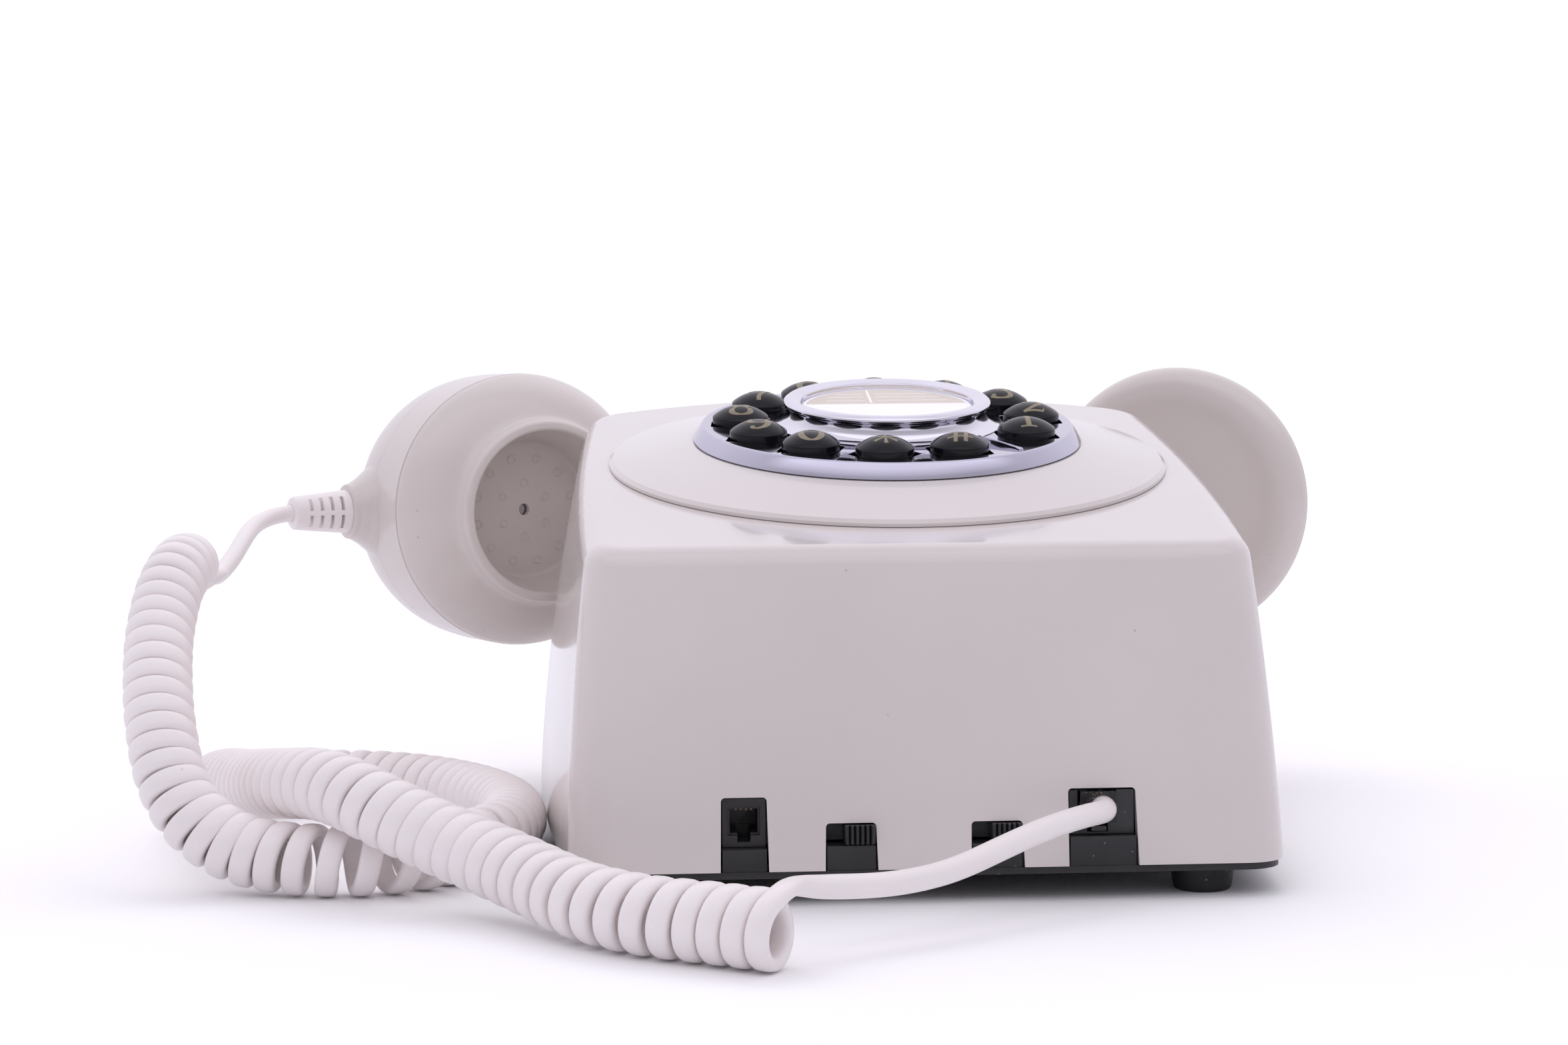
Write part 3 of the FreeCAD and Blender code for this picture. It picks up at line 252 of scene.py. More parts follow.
def thin_clear(name):
    """Clear sheet that only reflects on its front faces and never bends light."""
    material, g = new_material(name)
    through = g.add("BsdfTransparent", {"Color": (0.995, 0.995, 1.0, 1)})
    smear = g.vary(scale=90, detail=4, low=0.005, high=0.03)
    ripple = g.bump(g.noise(scale=700, detail=2), strength=0.04, distance=0.00001)
    mirror = g.add("BsdfGlossy", {
        "Color": (0.95, 0.95, 1.0, 1), "Roughness": smear, "Normal": ripple})
    fresnel = g.add("Fresnel", {"IOR": 1.30}).outputs[0]
    front = g.calc("SUBTRACT", 1.0, g.add("NewGeometry").outputs["Backfacing"])
    g.surface(g.mix_shader(g.calc("MULTIPLY", fresnel, front), through, mirror))
    return material


def clear_plastic(name, tint, rough):
    """Solid tinted clear plastic that lets shadow and diffuse rays pass straight through."""
    material, g = new_material(name)
    solid = g.add("BsdfPrincipled", {
        "Transmission Weight": 1.0, "IOR": 1.49,
        "Base Color": g.mottle(shade(tint, 0.93), tint, scale=180, detail=3),
        "Roughness": g.vary(scale=90, detail=4, low=rough * 0.6, high=rough * 1.6 + 0.004),
        "Normal": g.bump(g.noise(scale=700, detail=2), strength=0.05, distance=0.00001)})
    rays = g.add("LightPath").outputs
    passing = g.calc("MAXIMUM", rays["Is Shadow Ray"], rays["Is Diffuse Ray"])
    through = g.add("BsdfTransparent", {"Color": rgba([v ** 0.5 for v in tint])})
    g.surface(g.mix_shader(passing, solid, through))
    return material


def print_ink(name, color):
    material, g = new_material(name)
    g.surface(g.add("BsdfPrincipled", {
        "Base Color": g.mottle(shade(color, 0.82), color, scale=900, detail=3),
        "Roughness": g.vary(scale=1500, detail=3, low=0.28, high=0.46),
        "Metallic": 0.35,
        "Normal": g.bump(g.noise(scale=4000, detail=2), strength=0.2, distance=0.00001)}))
    return material


# ------------------------------------------------------------------ the telephone's materials
IVORY = gloss_plastic("ivory_shell", (0.745, 0.69, 0.665), rough=0.12, coat=0.4)
HANDSET = gloss_plastic("ivory_handset", (0.74, 0.68, 0.645), rough=0.20, coat=0.2)
CORD = gloss_plastic("cord_ivory", (0.96, 0.90, 0.885), rough=0.36, coat=0.05, vary=0.03,
                     scatter=0.08)
# painted reflection: both chromes have a lavender tint that stands in for the lavender studio they
# reflect, and the ring's copy is darker than the hub's to set how bright its reflections look
CHROME = metal("chrome_ring", (0.56, 0.545, 0.64), rough=0.035)
HUB_CHROME = metal("chrome_hub", (0.78, 0.765, 0.83), rough=0.06)
KEY_BLACK = gloss_plastic("key_black", (0.006, 0.006, 0.008), rough=0.16, coat=0.0, vary=0.3,
                          peel=0.00006, worn=0.02, specular=0.22)
BASE_BLACK = satin_plastic("black_base", (0.012, 0.012, 0.013))
SOCKET = satin_plastic("black_socket", (0.016, 0.016, 0.018), rough=0.33)
KNOB = satin_plastic("black_knob", (0.011, 0.011, 0.012), rough=0.36)
FOOT = satin_plastic("foot_rubber", (0.014, 0.014, 0.015), rough=0.62, grain=1500,
                     depth=0.00006, vary=0.15, dust=0.10)
GOLD = metal("contact_gold", (0.85, 0.62, 0.26), rough=0.16, brushed=True)
STEEL = metal("steel", (0.60, 0.60, 0.61), rough=0.26, brushed=True, scratch=0.3)
BRASS = metal("gong_brass", (0.80, 0.60, 0.30), rough=0.14, brushed=True)
INNER = satin_plastic("inner_plastic", (0.55, 0.55, 0.53), rough=0.45, grain=1800,
                      depth=0.00004, vary=0.05, dust=0.02)
BOARD = satin_plastic("board_green", (0.02, 0.12, 0.045), rough=0.30, grain=900,
                      depth=0.00002, vary=0.2, dust=0.02)
COMPONENT = satin_plastic("component_black", (0.03, 0.03, 0.034), rough=0.4)
KEY_MAT = satin_plastic("mat_silicone", (0.45, 0.45, 0.43), rough=0.6, grain=1200,
                        depth=0.00005, vary=0.06, dust=0.03)
WINDING = metal("coil_winding", (0.50, 0.20, 0.08), rough=0.25, brushed=True)
CAPSULE = metal("capsule_metal", (0.70, 0.70, 0.72), rough=0.22, brushed=True)
WINDOW = thin_clear("window_clear")
PLUG = clear_plastic("plug_clear", tint=(0.42, 0.42, 0.44), rough=0.05)
# painted shade: a darker copy of the contact gold for the line socket's contacts, which sit in shade
# inside the socket
GOLD_PAINTED_SHADE = metal("contact_gold_painted_shade", (0.20, 0.15, 0.08), rough=0.35, brushed=True)

FINISHES = (
    (IVORY, "upper_housing dial_surround"),
    (HANDSET, "handset_shell mouth_cap ear_cap"),
    (CORD, "cord_coil cord_lead_handset cord_lead_base strain_relief_boot"),
    (BASE_BLACK, "base_plate key_guide switch_bodies"),
    (SOCKET, "line_socket handset_socket"),
    (KNOB, "ringer_switch_knob volume_switch_knob"),
    (KEY_BLACK, " ".join("key_" + key for key in KEYS)),
    (CHROME, "dial_ring"),
    (HUB_CHROME, "hub_bezel"),
    (FOOT, "rubber_feet"),
    (GOLD, "plug_contacts"),
    # the line socket's contacts take the painted-shade copy of the gold
    (GOLD_PAINTED_SHADE, "line_contacts"),
    (STEEL, "base_screws board_screws gong_screws hook_springs bell_bracket hook_bracket"
            " balance_weights clapper"),
    (BRASS, "gong_left gong_right"),
    (INNER, "hook_plunger hook_switch microphone_holder receiver_holder number_card"),
    (BOARD, "keypad_board main_board"),
    (COMPONENT, "board_components"),
    (KEY_MAT, "key_mat"),
    (WINDING, "bell_coil"),
    (CAPSULE, "microphone_capsule receiver_capsule"),
    (WINDOW, "card_window"),
    (PLUG, "modular_plug"))


def give(piece, material):
    """Material held by the object, so pieces that share a mesh can differ."""
    if not piece.data.materials:
        piece.data.materials.append(None)
    for slot in piece.material_slots:
        slot.link = "OBJECT"
        slot.material = material


for finish, names in FINISHES:
    for piece_name in names.split():
        give(CAD_PIECES[piece_name], finish)


# ------------------------------------------------------------------ mesh helpers
def link_object(name, mesh, material):
    mesh.materials.append(material)
    mesh.polygons.foreach_set("use_smooth", [True] * len(mesh.polygons))
    piece = bpy.data.objects.new(name, mesh)
    bpy.context.scene.collection.objects.link(piece)
    return piece


def mesh_object(name, verts, faces, material, sharp, weld=None):
    """Closed smooth mesh, faces outward; edges steeper than sharp degrees stay crisp."""
    mesh = bpy.data.meshes.new(name)
    mesh.from_pydata([tuple(v) for v in verts], [], faces)
    mesh.update()
    piece = link_object(name, mesh, material)
    bm = bmesh.new()
    bm.from_mesh(mesh)
    if weld:
        bmesh.ops.remove_doubles(bm, verts=bm.verts, dist=weld)
    bmesh.ops.recalc_face_normals(bm, faces=bm.faces)
    bm.to_mesh(mesh)
    bm.free()
    mesh.set_sharp_from_angle(angle=math.radians(sharp))
    return piece


def band_faces(rows, ring, start=0):
    """Quads joining each closed ring of vertices to the next."""
    faces = []
    for i in range(rows - 1):
        near, far = start + i * ring, start + (i + 1) * ring
        for j in range(ring):
            k = (j + 1) % ring
            faces.append((near + j, near + k, far + k, far + j))
    return faces


def end_caps(rows, ring, start=0):
    last = start + (rows - 1) * ring
    return [tuple(start + j for j in reversed(range(ring))), tuple(last + j for j in range(ring))]


def signed_power(value, power):
    return math.copysign(abs(value) ** power, value)


def rounded(points):
    """Closed profile from (radius, z, corner radius) rows; each corner becomes a short arc."""
    out = []
    for i, (x, y, corner) in enumerate(points):
        p = np.array((x, y), float)
        if corner <= 0:
            out.append(p)
            continue
        back = np.array(points[i - 1][:2], float) - p
        ahead = np.array(points[(i + 1) % len(points)][:2], float) - p
        len_back, len_ahead = np.linalg.norm(back), np.linalg.norm(ahead)
        back, ahead = back / len_back, ahead / len_ahead
        half = math.acos(max(-1, min(1, float(back @ ahead)))) / 2
        if half > math.radians(88.5):     # nearly straight
            out.append(p)
            continue
        reach = min(corner / math.tan(half), 0.49 * len_back, 0.49 * len_ahead)
        radius = reach * math.tan(half)
        middle = (back + ahead) / np.linalg.norm(back + ahead)
        centre = p + middle * (radius / math.sin(half))
        first, last = p + back * reach - centre, p + ahead * reach - centre
        sweep = math.atan2(first[0] * last[1] - first[1] * last[0], float(first @ last))
        steps = max(3, int(abs(sweep) / math.radians(9)) + 1)
        for j in range(steps + 1):
            turn = sweep * j / steps
            cos, sin = math.cos(turn), math.sin(turn)
            out.append(centre + np.array((first[0] * cos - first[1] * sin,
                                          first[0] * sin + first[1] * cos)))
    return out


def split_profile(profile, step):
    """Cuts every side into steps of at least the given length, except sides on the axis."""
    fine = []
    for i, p in enumerate(profile):
        q = profile[(i + 1) % len(profile)]
        off_axis = min(p[0], q[0]) > 1e-9 or abs(p[0] - q[0]) > 1e-9
        count = max(1, int(np.linalg.norm(q - p) / step)) if off_axis else 1
        fine += [p + (q - p) * j / count for j in range(count)]
    return fine


def turned(profile, frame, segs, start):
    """Vertices and faces of a closed profile spun about the frame's Z axis."""
    verts, rows = [], []
    for radius, z in profile:
        if radius < 1e-6:
            rows.append([start + len(verts)] * segs)
            verts.append(frame @ Vector((0, 0, z / 1000)))
            continue
        rows.append([start + len(verts) + k for k in range(segs)])
        for k in range(segs):
            a = 2 * math.pi * k / segs
            verts.append(frame @ mm(radius * math.cos(a), radius * math.sin(a), z))
    faces = []
    for i, row in enumerate(rows):
        following = rows[(i + 1) % len(rows)]
        if row[0] == row[1] and following[0] == following[1]:
            continue
        for k in range(segs):
            l = (k + 1) % segs
            face = [row[k], row[l], following[l], following[k]]
            face = [v for j, v in enumerate(face) if v != face[j - 1]]
            if len(face) > 2:
                faces.append(face)
    return verts, faces


def lathe(name, points, frames, material, segs, sharp, split=0):
    """Turned piece from (radius, z, corner radius) rows, one copy for each frame given."""
    if isinstance(frames, Matrix):
        frames = [frames]
    profile = rounded(points)
    if split:
        profile = split_profile(profile, split)
    verts, faces = [], []
    for frame in frames:
        more_verts, more_faces = turned(profile, frame, segs, len(verts))
        verts += more_verts
        faces += more_faces
    return mesh_object(name, verts, faces, material, sharp)


def outline(cx, cy, radius_at, count):
    """Closed outline round a centre, as a function of how far it is pushed outwards."""
    def pushed(push):
        points = []
        for i in range(count):
            a = 2 * math.pi * i / count
            points.append((cx + (radius_at(a) + push) * math.cos(a),
                           cy + (radius_at(a) + push) * math.sin(a)))
        return points
    return pushed


def circle(cx, cy, radius, count):
    return outline(cx, cy, lambda angle: radius, count)


def holed_plate(name, outlines, frame, material):
    """Flat plate between outlines; each outline runs down through its own (push, z) steps."""
    bm = bmesh.new()
    top_edges, first, last = [], [], []
    for shape, steps in outlines:
        rings = [[bm.verts.new(frame @ mm(x, y, z)) for x, y in shape(push)] for push, z in steps]
        count = len(rings[0])
        for upper, lower in zip(rings, rings[1:]):
            for j in range(count):
                k = (j + 1) % count
                bm.faces.new((upper[j], upper[k], lower[k], lower[j]))
        first += rings[0]
        last += rings[-1]
        top_edges += [bm.edges.get((rings[0][j], rings[0][(j + 1) % count]))
                      for j in range(count)]
    below = dict(zip(first, last))
    filled = bmesh.ops.triangle_fill(bm, use_beauty=True, use_dissolve=False, edges=top_edges,
                                     normal=frame.to_3x3() @ Vector((0, 0, 1)))
    tops = [f for f in filled["geom"] if isinstance(f, bmesh.types.BMFace)]
    for face in tops:
        bm.faces.new([below[v] for v in reversed(face.verts)])
    bmesh.ops.recalc_face_normals(bm, faces=bm.faces)
    mesh = bpy.data.meshes.new(name)
    bm.to_mesh(mesh)
    bm.free()
    piece = link_object(name, mesh, material)
    mesh.set_sharp_from_angle(angle=math.radians(50))
    flat = piece.modifiers.new("flat_faces", "WEIGHTED_NORMAL")
    flat.weight = 50
    flat.keep_sharp = True
    return piece


# ------------------------------------------------------------------ curve helpers
def unit(v):
    return v / np.linalg.norm(v, axis=-1, keepdims=True)


def distances(p):
    """Running length along the polyline p."""
    return np.concatenate([[0], np.cumsum(np.linalg.norm(np.diff(p, axis=0), axis=1))])


def values_at(s, along, p):
    return np.stack([np.interp(s, along, p[:, k]) for k in range(p.shape[1])], 1)


def spline(points, count):
    """Points spaced evenly in chord length on the natural cubic spline through the points."""
    p = np.array(points, float)
    t = distances(p)
    n = len(t)
    h = np.diff(t)
    system = np.zeros((n, n))
    right_side = np.zeros((n, 3))
    system[0, 0] = system[-1, -1] = 1
    for i in range(1, n - 1):
        system[i, i - 1:i + 2] = h[i - 1], 2 * (h[i - 1] + h[i]), h[i]
        right_side[i] = 6 * ((p[i + 1] - p[i]) / h[i] - (p[i] - p[i - 1]) / h[i - 1])
    bend = np.linalg.solve(system, right_side)
    u = np.linspace(0, t[-1], count)
    i = np.clip(np.searchsorted(t, u, side="right") - 1, 0, n - 2)
    gap, a, b = h[i][:, None], (t[i + 1] - u)[:, None], (u - t[i])[:, None]
    return ((bend[i] * a ** 3 + bend[i + 1] * b ** 3) / (6 * gap)
            + (p[i] / gap - bend[i] * gap / 6) * a
            + (p[i + 1] / gap - bend[i + 1] * gap / 6) * b)


def smooth_profile(points, count):
    """Lathe rows, without corner rounding, on a spline through (radius, z) points."""
    return [(float(p[0]), float(p[1]), 0) for p in spline([(x, y, 0) for x, y in points], count)]


def resample(p, step):
    """The polyline p at even steps, and the distance of each new point along it."""
    along = distances(p)
    count = max(2, int(round(along[-1] / step)) + 1)
    s = np.linspace(0, along[-1], count)
    return values_at(s, along, p), s


def square_to(v, tangent):
    """Unit vector nearest v that is square to the tangent."""
    return unit(v - tangent * (v @ tangent))


def bridge(p0, t0, p1, t1, pull0, pull1):
    """Hermite curve from p0 to p1, at 1 mm steps."""
    u = np.linspace(0, 1, 200)[:, None]
    curve = ((2 * u ** 3 - 3 * u ** 2 + 1) * p0 + (u ** 3 - 2 * u ** 2 + u) * t0 * pull0
             + (-2 * u ** 3 + 3 * u ** 2) * p1 + (u ** 3 - u ** 2) * t1 * pull1)
    return resample(curve, step=1.0)[0]


# ------------------------------------------------------------------ curled cord
# middle line of the coil (x, y, z), from the handset end to the base end
COIL = [
    (-159.7, 7.5, 57.4), (-159.1, 0.5, 57.7), (-159.0, -6.5, 57.0), (-159.7, -14.5, 53.9),
    (-160.1, -22.0, 48.8), (-159.9, -30.0, 42.6), (-159.1, -36.5, 37.1), (-157.8, -43.5, 30.3),
    (-156.2, -49.0, 24.5), (-154.2, -54.0, 18.8), (-151.4, -58.0, 13.8), (-147.8, -61.0, 9.6),
    (-143.8, -63.0, 6.6), (-138.7, -64.8, 4.2), (-133.0, -66.5, 2.9), (-120.3, -69.5, 2.12),
    (-108.4, -68.5, 2.12), (-97.5, -60.0, 2.12), (-89.0, -46.0, 2.12), (-85.2, -28.0, 2.12),
    (-86.5, -8.0, 2.12), (-92.5, 10.0, 2.12), (-102.0, 26.0, 2.12), (-114.5, 38.5, 2.12),
    (-129.5, 45.0, 2.12), (-144.0, 43.0, 2.12), (-154.5, 33.0, 2.12), (-157.0, 17.0, 4.2),
    (-151.4, -0.7, 8.6), (-142.7, -22.7, 11.5), (-134.6, -43.6, 14.3), (-127.4, -59.4, 16.4),
    (-121.3, -68.4, 17.3), (-116.0, -74.6, 16.6), (-110.6, -79.6, 14.9), (-104.8, -83.4, 12.6),
    (-98.7, -87.0, 10.2), (-92.5, -91.2, 8.1), (-86.5, -96.2, 6.4), (-80.2, -103.2, 4.9),
    (-68.0, -121.5, 2.8), (-53.0, -136.2, 2.12), (-45.8, -141.0, 2.12), (-39.4, -145.6, 2.12),
    (-33.2, -150.0, 2.12)]
# (distance along the coil, pitch of the winding)
PITCH = [
    (0, 4.65), (104, 4.65), (112, 5.6), (122, 6.8), (150, 6.8), (160, 5.9), (172, 4.75),
    (225, 4.65), (245, 5.6), (285, 5.4), (305, 4.65), (446, 4.6), (458, 4.9), (470, 5.9),
    (486, 6.0), (500, 5.7), (520, 5.4), (530, 5.0), (700, 4.9)]
FAR_LOOP = (180, 420)     # distances along the coil between which the pitch may be adjusted
WINDING_SIGN = -1.0       # left-handed
COIL_OUTER = 7.35         # outer radius of the coil
COIL_HALF_WIDTH, COIL_HALF_THICK = 2.28, 1.42   # cord section, along and across the coil
HANDSET_LEAD_RADIUS, BASE_LEAD_RADIUS = 2.28, 2.45
LEAD_FLATTEN = 0.93       # a lead's thickness over its width
# directions from the coil's middle line to the cord where the first and last turns end
FIRST_TURN, LAST_TURN = np.array((0.64, 0.0, -0.77)), np.array((-0.05, -0.45, 0.89))
CORD_SEGS = 20            # vertices round the cord
FADE_ROWS = 24            # rows over which a coil section turns into a lead section

# middle lines of the leads (x, y, z); the handset lead starts inside the boot
boot_tip = np.array((BOOT_ORIGIN + BOOT_DIR * (BOOT_TIP / 1000)) * 1000)
HANDSET_LEAD = [
    boot_tip - np.array(BOOT_DIR) * 9.0, boot_tip, (-147.3, 72.6, 65.6), (-150.0, 67.5, 64.8),
    (-151.9, 58.0, 63.2), (-152.6, 48.0, 60.9), (-153.6, 35.0, 57.0), (-154.6, 23.0, 54.3)]
BASE_LEAD = [
    (-24.0, -136.2, 7.1), (-12.8, -130.0, 6.2), (-1.2, -123.0, 6.9), (9.6, -114.0, 9.2),
    (22.5, -104.0, 12.2), (30.4, -97.2, 13.0), (33.4, -92.6, 12.85), (34.2, -88.6, 12.8),
    (34.2, -84.0, 12.8)]


def coil_path():
    """Centre of the cord along the coil, and its direction away from the coil's middle line."""
    axis, s = resample(spline(COIL, 4000), step=0.12)
    tangents = unit(np.gradient(axis, axis=0))
    # side vectors carried along without twist, starting from +X
    side = np.zeros_like(axis)
    side[0] = square_to(np.array((1.0, 0.0, 0.0)), tangents[0])
    for i in range(1, len(axis)):
        side[i] = square_to(side[i - 1], tangents[i])
    other = np.cross(tangents, side)
    pitch = np.interp(s, *zip(*PITCH))
    rate = 2 * math.pi / pitch[:-1] * np.diff(s)
    # both end turns are fixed where the leads leave, so the far loop takes up the odd part
    # of a turn
    start = math.atan2(float(FIRST_TURN @ other[0]), float(FIRST_TURN @ side[0]))
    end = math.atan2(float(LAST_TURN @ other[-1]), float(LAST_TURN @ side[-1]))
    total = rate.sum()
    wanted = WINDING_SIGN * (end - start)
    wanted += 2 * math.pi * round((total - wanted) / (2 * math.pi))
    loop = ((s[:-1] > FAR_LOOP[0]) & (s[:-1] < FAR_LOOP[1])).astype(float)
    rate *= 1 + loop * (wanted - total) / float((rate * loop).sum())
    phase = start + WINDING_SIGN * np.concatenate([[0], np.cumsum(rate)])
    out = side * np.cos(phase)[:, None] + other * np.sin(phase)[:, None]
    helix = axis + out * (COIL_OUTER - COIL_HALF_THICK)
    along = distances(helix)
    rows = np.linspace(0, along[-1], int(along[-1] / 1.05))
    return values_at(rows, along, helix), unit(values_at(rows, along, out))


def cord_path():
    """Cord centres, tangents, outward vectors, and the first and past-the-last coil rows."""
    coil, coil_out = coil_path()
    lead_in, _ = resample(spline(HANDSET_LEAD, 1500), step=1.0)
    gap = np.linalg.norm(coil[0] - lead_in[-1])
    join_in = bridge(lead_in[-1], unit(lead_in[-1] - lead_in[-2]),
                     coil[0], unit(coil[1] - coil[0]), pull0=gap * 1.2, pull1=gap * 1.2)
    lead_out, _ = resample(spline(BASE_LEAD, 1500), step=1.0)
    gap = np.linalg.norm(coil[-1] - lead_out[0])
    join_out = bridge(coil[-1], unit(coil[-1] - coil[-2]),
                      lead_out[0], unit(lead_out[1] - lead_out[0]), pull0=gap, pull1=gap * 1.1)
    centre = np.concatenate([lead_in[:-1], join_in[:-1], coil, join_out[1:], lead_out[1:]])
    first = len(lead_in) + len(join_in) - 2
    end = first + len(coil)
    tangents = unit(np.gradient(centre, axis=0))
    out = np.zeros_like(centre)
    out[first:end] = coil_out
    for i in range(first - 1, -1, -1):
        out[i] = square_to(out[i + 1], tangents[i])
    for i in range(end, len(centre)):
        out[i] = square_to(out[i - 1], tangents[i])
    return centre, tangents, out, first, end


def make_cord():
    centre, tangents, out, first, end = cord_path()
    count = len(centre)
    coiled = np.zeros(count)      # 0 on the leads, 1 on the coil
    coiled[first:end] = 1
    for j in range(1, FADE_ROWS):
        weight = 0.5 + 0.5 * math.cos(math.pi * j / FADE_ROWS)
        coiled[first - j] = weight
        coiled[end - 1 + j] = weight
    verts = []
    for i in range(count):
        thick_dir = square_to(out[i], tangents[i])
        wide_dir = np.cross(tangents[i], thick_dir)
        lead = HANDSET_LEAD_RADIUS if i < first else BASE_LEAD_RADIUS
        wide = lead + (COIL_HALF_WIDTH - lead) * coiled[i]
        flat = lead * LEAD_FLATTEN
        thick = flat + (COIL_HALF_THICK - flat) * coiled[i]
        power = 2.0 / (2.0 + 0.75 * coiled[i])     # squarer corners on the coil
        for j in range(CORD_SEGS):
            a = 2 * math.pi * j / CORD_SEGS
            x = wide * signed_power(math.cos(a), power)
            y = thick * signed_power(math.sin(a), power)
            verts.append((centre[i] + wide_dir * x + thick_dir * y) / 1000.0)
    faces = band_faces(count, CORD_SEGS)
    for row in (0, count - 1):
        verts.append(centre[row] / 1000.0)
        base = row * CORD_SEGS
        for j in range(CORD_SEGS):
            faces.append((base + j, base + (j + 1) % CORD_SEGS, len(verts) - 1))
    return mesh_object("curled_cord", verts, faces, CORD, sharp=50)


cord = make_cord()
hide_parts("cord_coil", "cord_lead_handset", "cord_lead_base")
# start of a stretch (metres) over which the cord would go from following the base to following the
# handset; nothing below uses it
blend_dir = Vector((0, 0.82, 0.574)).normalized()
blend_start = blend_dir * 0.042
blend_start.x = -0.15
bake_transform(cord)

# ------------------------------------------------------------------ keys
KEY_RADIUS = 6.4
KEY_CROWN = 3.98          # height of the dome's top above the dial plane
DOME_RADIUS = 9.4         # radius of the sphere the dome is cut from


def dome_z(x, y):
    return KEY_CROWN - DOME_RADIUS + math.sqrt(DOME_RADIUS * DOME_RADIUS - x * x - y * y)


# (radius, z, corner radius) from the dome's top, down the side, round the flange, back inside
KEY_PROFILE = [(r, dome_z(r, 0), 0) for r in (0, 1.2, 2.4, 3.6, 4.4, 5.1)] + [
    (5.75, dome_z(5.75, 0) + 0.03, 0.5), (KEY_RADIUS, dome_z(KEY_RADIUS, 0) + 0.05, 0.6),
    (KEY_RADIUS, -1.75, 0.25), (6.05, -1.95, 0.1), (6.05, -5.2, 0), (7.0, -5.2, 0.15),
    (7.0, -6.7, 0.15), (5.0, -6.7, 0.1), (5.0, -2.9, 0.3), (0, -2.9, 0)]

# ------------------------------------------------------------------ numerals on the keys
THICK, THIN = 1.30, 0.46  # upright and level parts of a stroke whose width follows its slope
AUTO = None               # marks such a stroke


def arc(cx, cy, rx, ry, start, end, count):
    points = []
    for i in range(count + 1):
        a = math.radians(start + (end - start) * i / count)
        points.append((cx + rx * math.cos(a), cy + ry * math.sin(a)))
    return points


def dot(x, y, radius=0.28):
    return arc(x, y, radius, radius, 0, 360, 12), 0.5, True


# strokes of each numeral: (points, width or widths along it, closed)
GLYPHS = {
    "0": [(arc(0, 0, 1.95, 2.95, 0, 360, 44), AUTO, True)],
    "1": [([(0.0, 3.1), (0.0, -3.0)], 1.15, False),
          ([(-1.55, -3.05), (1.55, -3.05)], 0.42, False),
          ([(-1.5, 2.35), (-0.5, 2.75), (0.1, 3.2)], 0.42, False)],
    "2": [(arc(0.1, 1.35, 1.75, 1.75, 170, -20, 22)
           + [(1.1, -0.4), (-0.4, -1.9), (-1.85, -2.9)], AUTO, False),
          ([(-1.9, -2.85), (1.95, -2.85)], 0.62, False),
          ([(1.9, -2.85), (2.15, -1.9)], 0.4, False),
          dot(-1.25, 1.45)],
    "3": [(arc(-0.05, 1.55, 1.55, 1.55, 165, -85, 24), AUTO, False),
          (arc(-0.1, -1.45, 1.95, 1.65, 85, -160, 28), AUTO, False),
          dot(-1.25, 1.75, 0.26), dot(-1.6, -1.85)],
    "4": [([(0.75, 3.15), (-2.15, -1.15)], 0.42, False),
          ([(-2.15, -1.15), (2.25, -1.15)], 0.44, False),
          ([(0.75, 3.15), (0.75, -3.0)], 1.12, False),
          ([(-0.5, -3.05), (2.0, -3.05)], 0.4, False)],
    "5": [([(-1.35, 2.75), (1.75, 2.75)], 0.85, False),
          ([(-1.4, 2.9), (-1.55, 0.1)], 0.4, False),
          ([(-1.55, 0.1)] + arc(-0.05, -1.15, 1.85, 1.85, 130, -155, 30), AUTO, False),
          dot(-1.5, -1.75)],
    "6": [([(1.35, 2.75), (0.2, 2.95)] + arc(0.15, -0.4, 2.05, 3.2, 105, 185, 18), AUTO, False),
          (arc(0.05, -1.15, 1.85, 1.85, 0, 360, 40), AUTO, True),
          dot(1.3, 2.35, 0.26)],
    "7": [([(-1.9, 2.75), (1.95, 2.75)], 0.8, False),
          ([(-1.9, 2.9), (-2.05, 1.75)], 0.4, False),
          ([(1.95, 2.7), (1.1, 1.3), (0.1, -0.6), (-0.25, -1.8), (-0.3, -3.05)], 1.0, False)],
    "8": [(arc(0, 1.6, 1.45, 1.5, 0, 360, 34), AUTO, True),
          (arc(0, -1.5, 1.85, 1.65, 0, 360, 36), AUTO, True)],
    "9": [([(-1.35, -2.75), (-0.2, -2.95)] + arc(-0.15, 0.4, 2.05, 3.2, 285, 365, 18),
           AUTO, False),
          (arc(-0.05, 1.15, 1.85, 1.85, 0, 360, 40), AUTO, True),
          dot(-1.3, -2.35, 0.26)],
    "star": [([polar(r, a) for r in (0.18, 1.2, 2.45)], (0.36, 0.62, 0.95), False)
             for a in (90, 150, 210, 270, 330, 30)],
    "hash": [([(-0.55, 2.9), (-1.15, -2.9)], 0.85, False),
             ([(1.35, 2.9), (0.75, -2.9)], 0.85, False),
             ([(-2.3, 1.05), (2.55, 1.05)], 0.5, False),
             ([(-2.55, -1.05), (2.3, -1.05)], 0.5, False)]}
GLYPH_STRETCH = (1.16, 1.04)
GLYPH_SHIFT = -1.15       # along Y, towards the front of the key
FILM_LIFT, FILM_SINK = 0.035, 0.05   # top above and underside below the dome
STROKE_LIFT = 0.004       # each stroke lies this much above the one before
STROKE_COLS = 4           # strips across a stroke


def stroke_line(points, closed):
    """Evenly spaced points of a stroke, and their positions from 0 to 1 along it."""
    p = np.array(points + ([points[0]] if closed and points[0] != points[-1] else []), float)
    along = distances(p)
    s = np.linspace(0, along[-1], max(4, int(along[-1] / 0.16)) + 1)
    return values_at(s, along, p), s / along[-1]


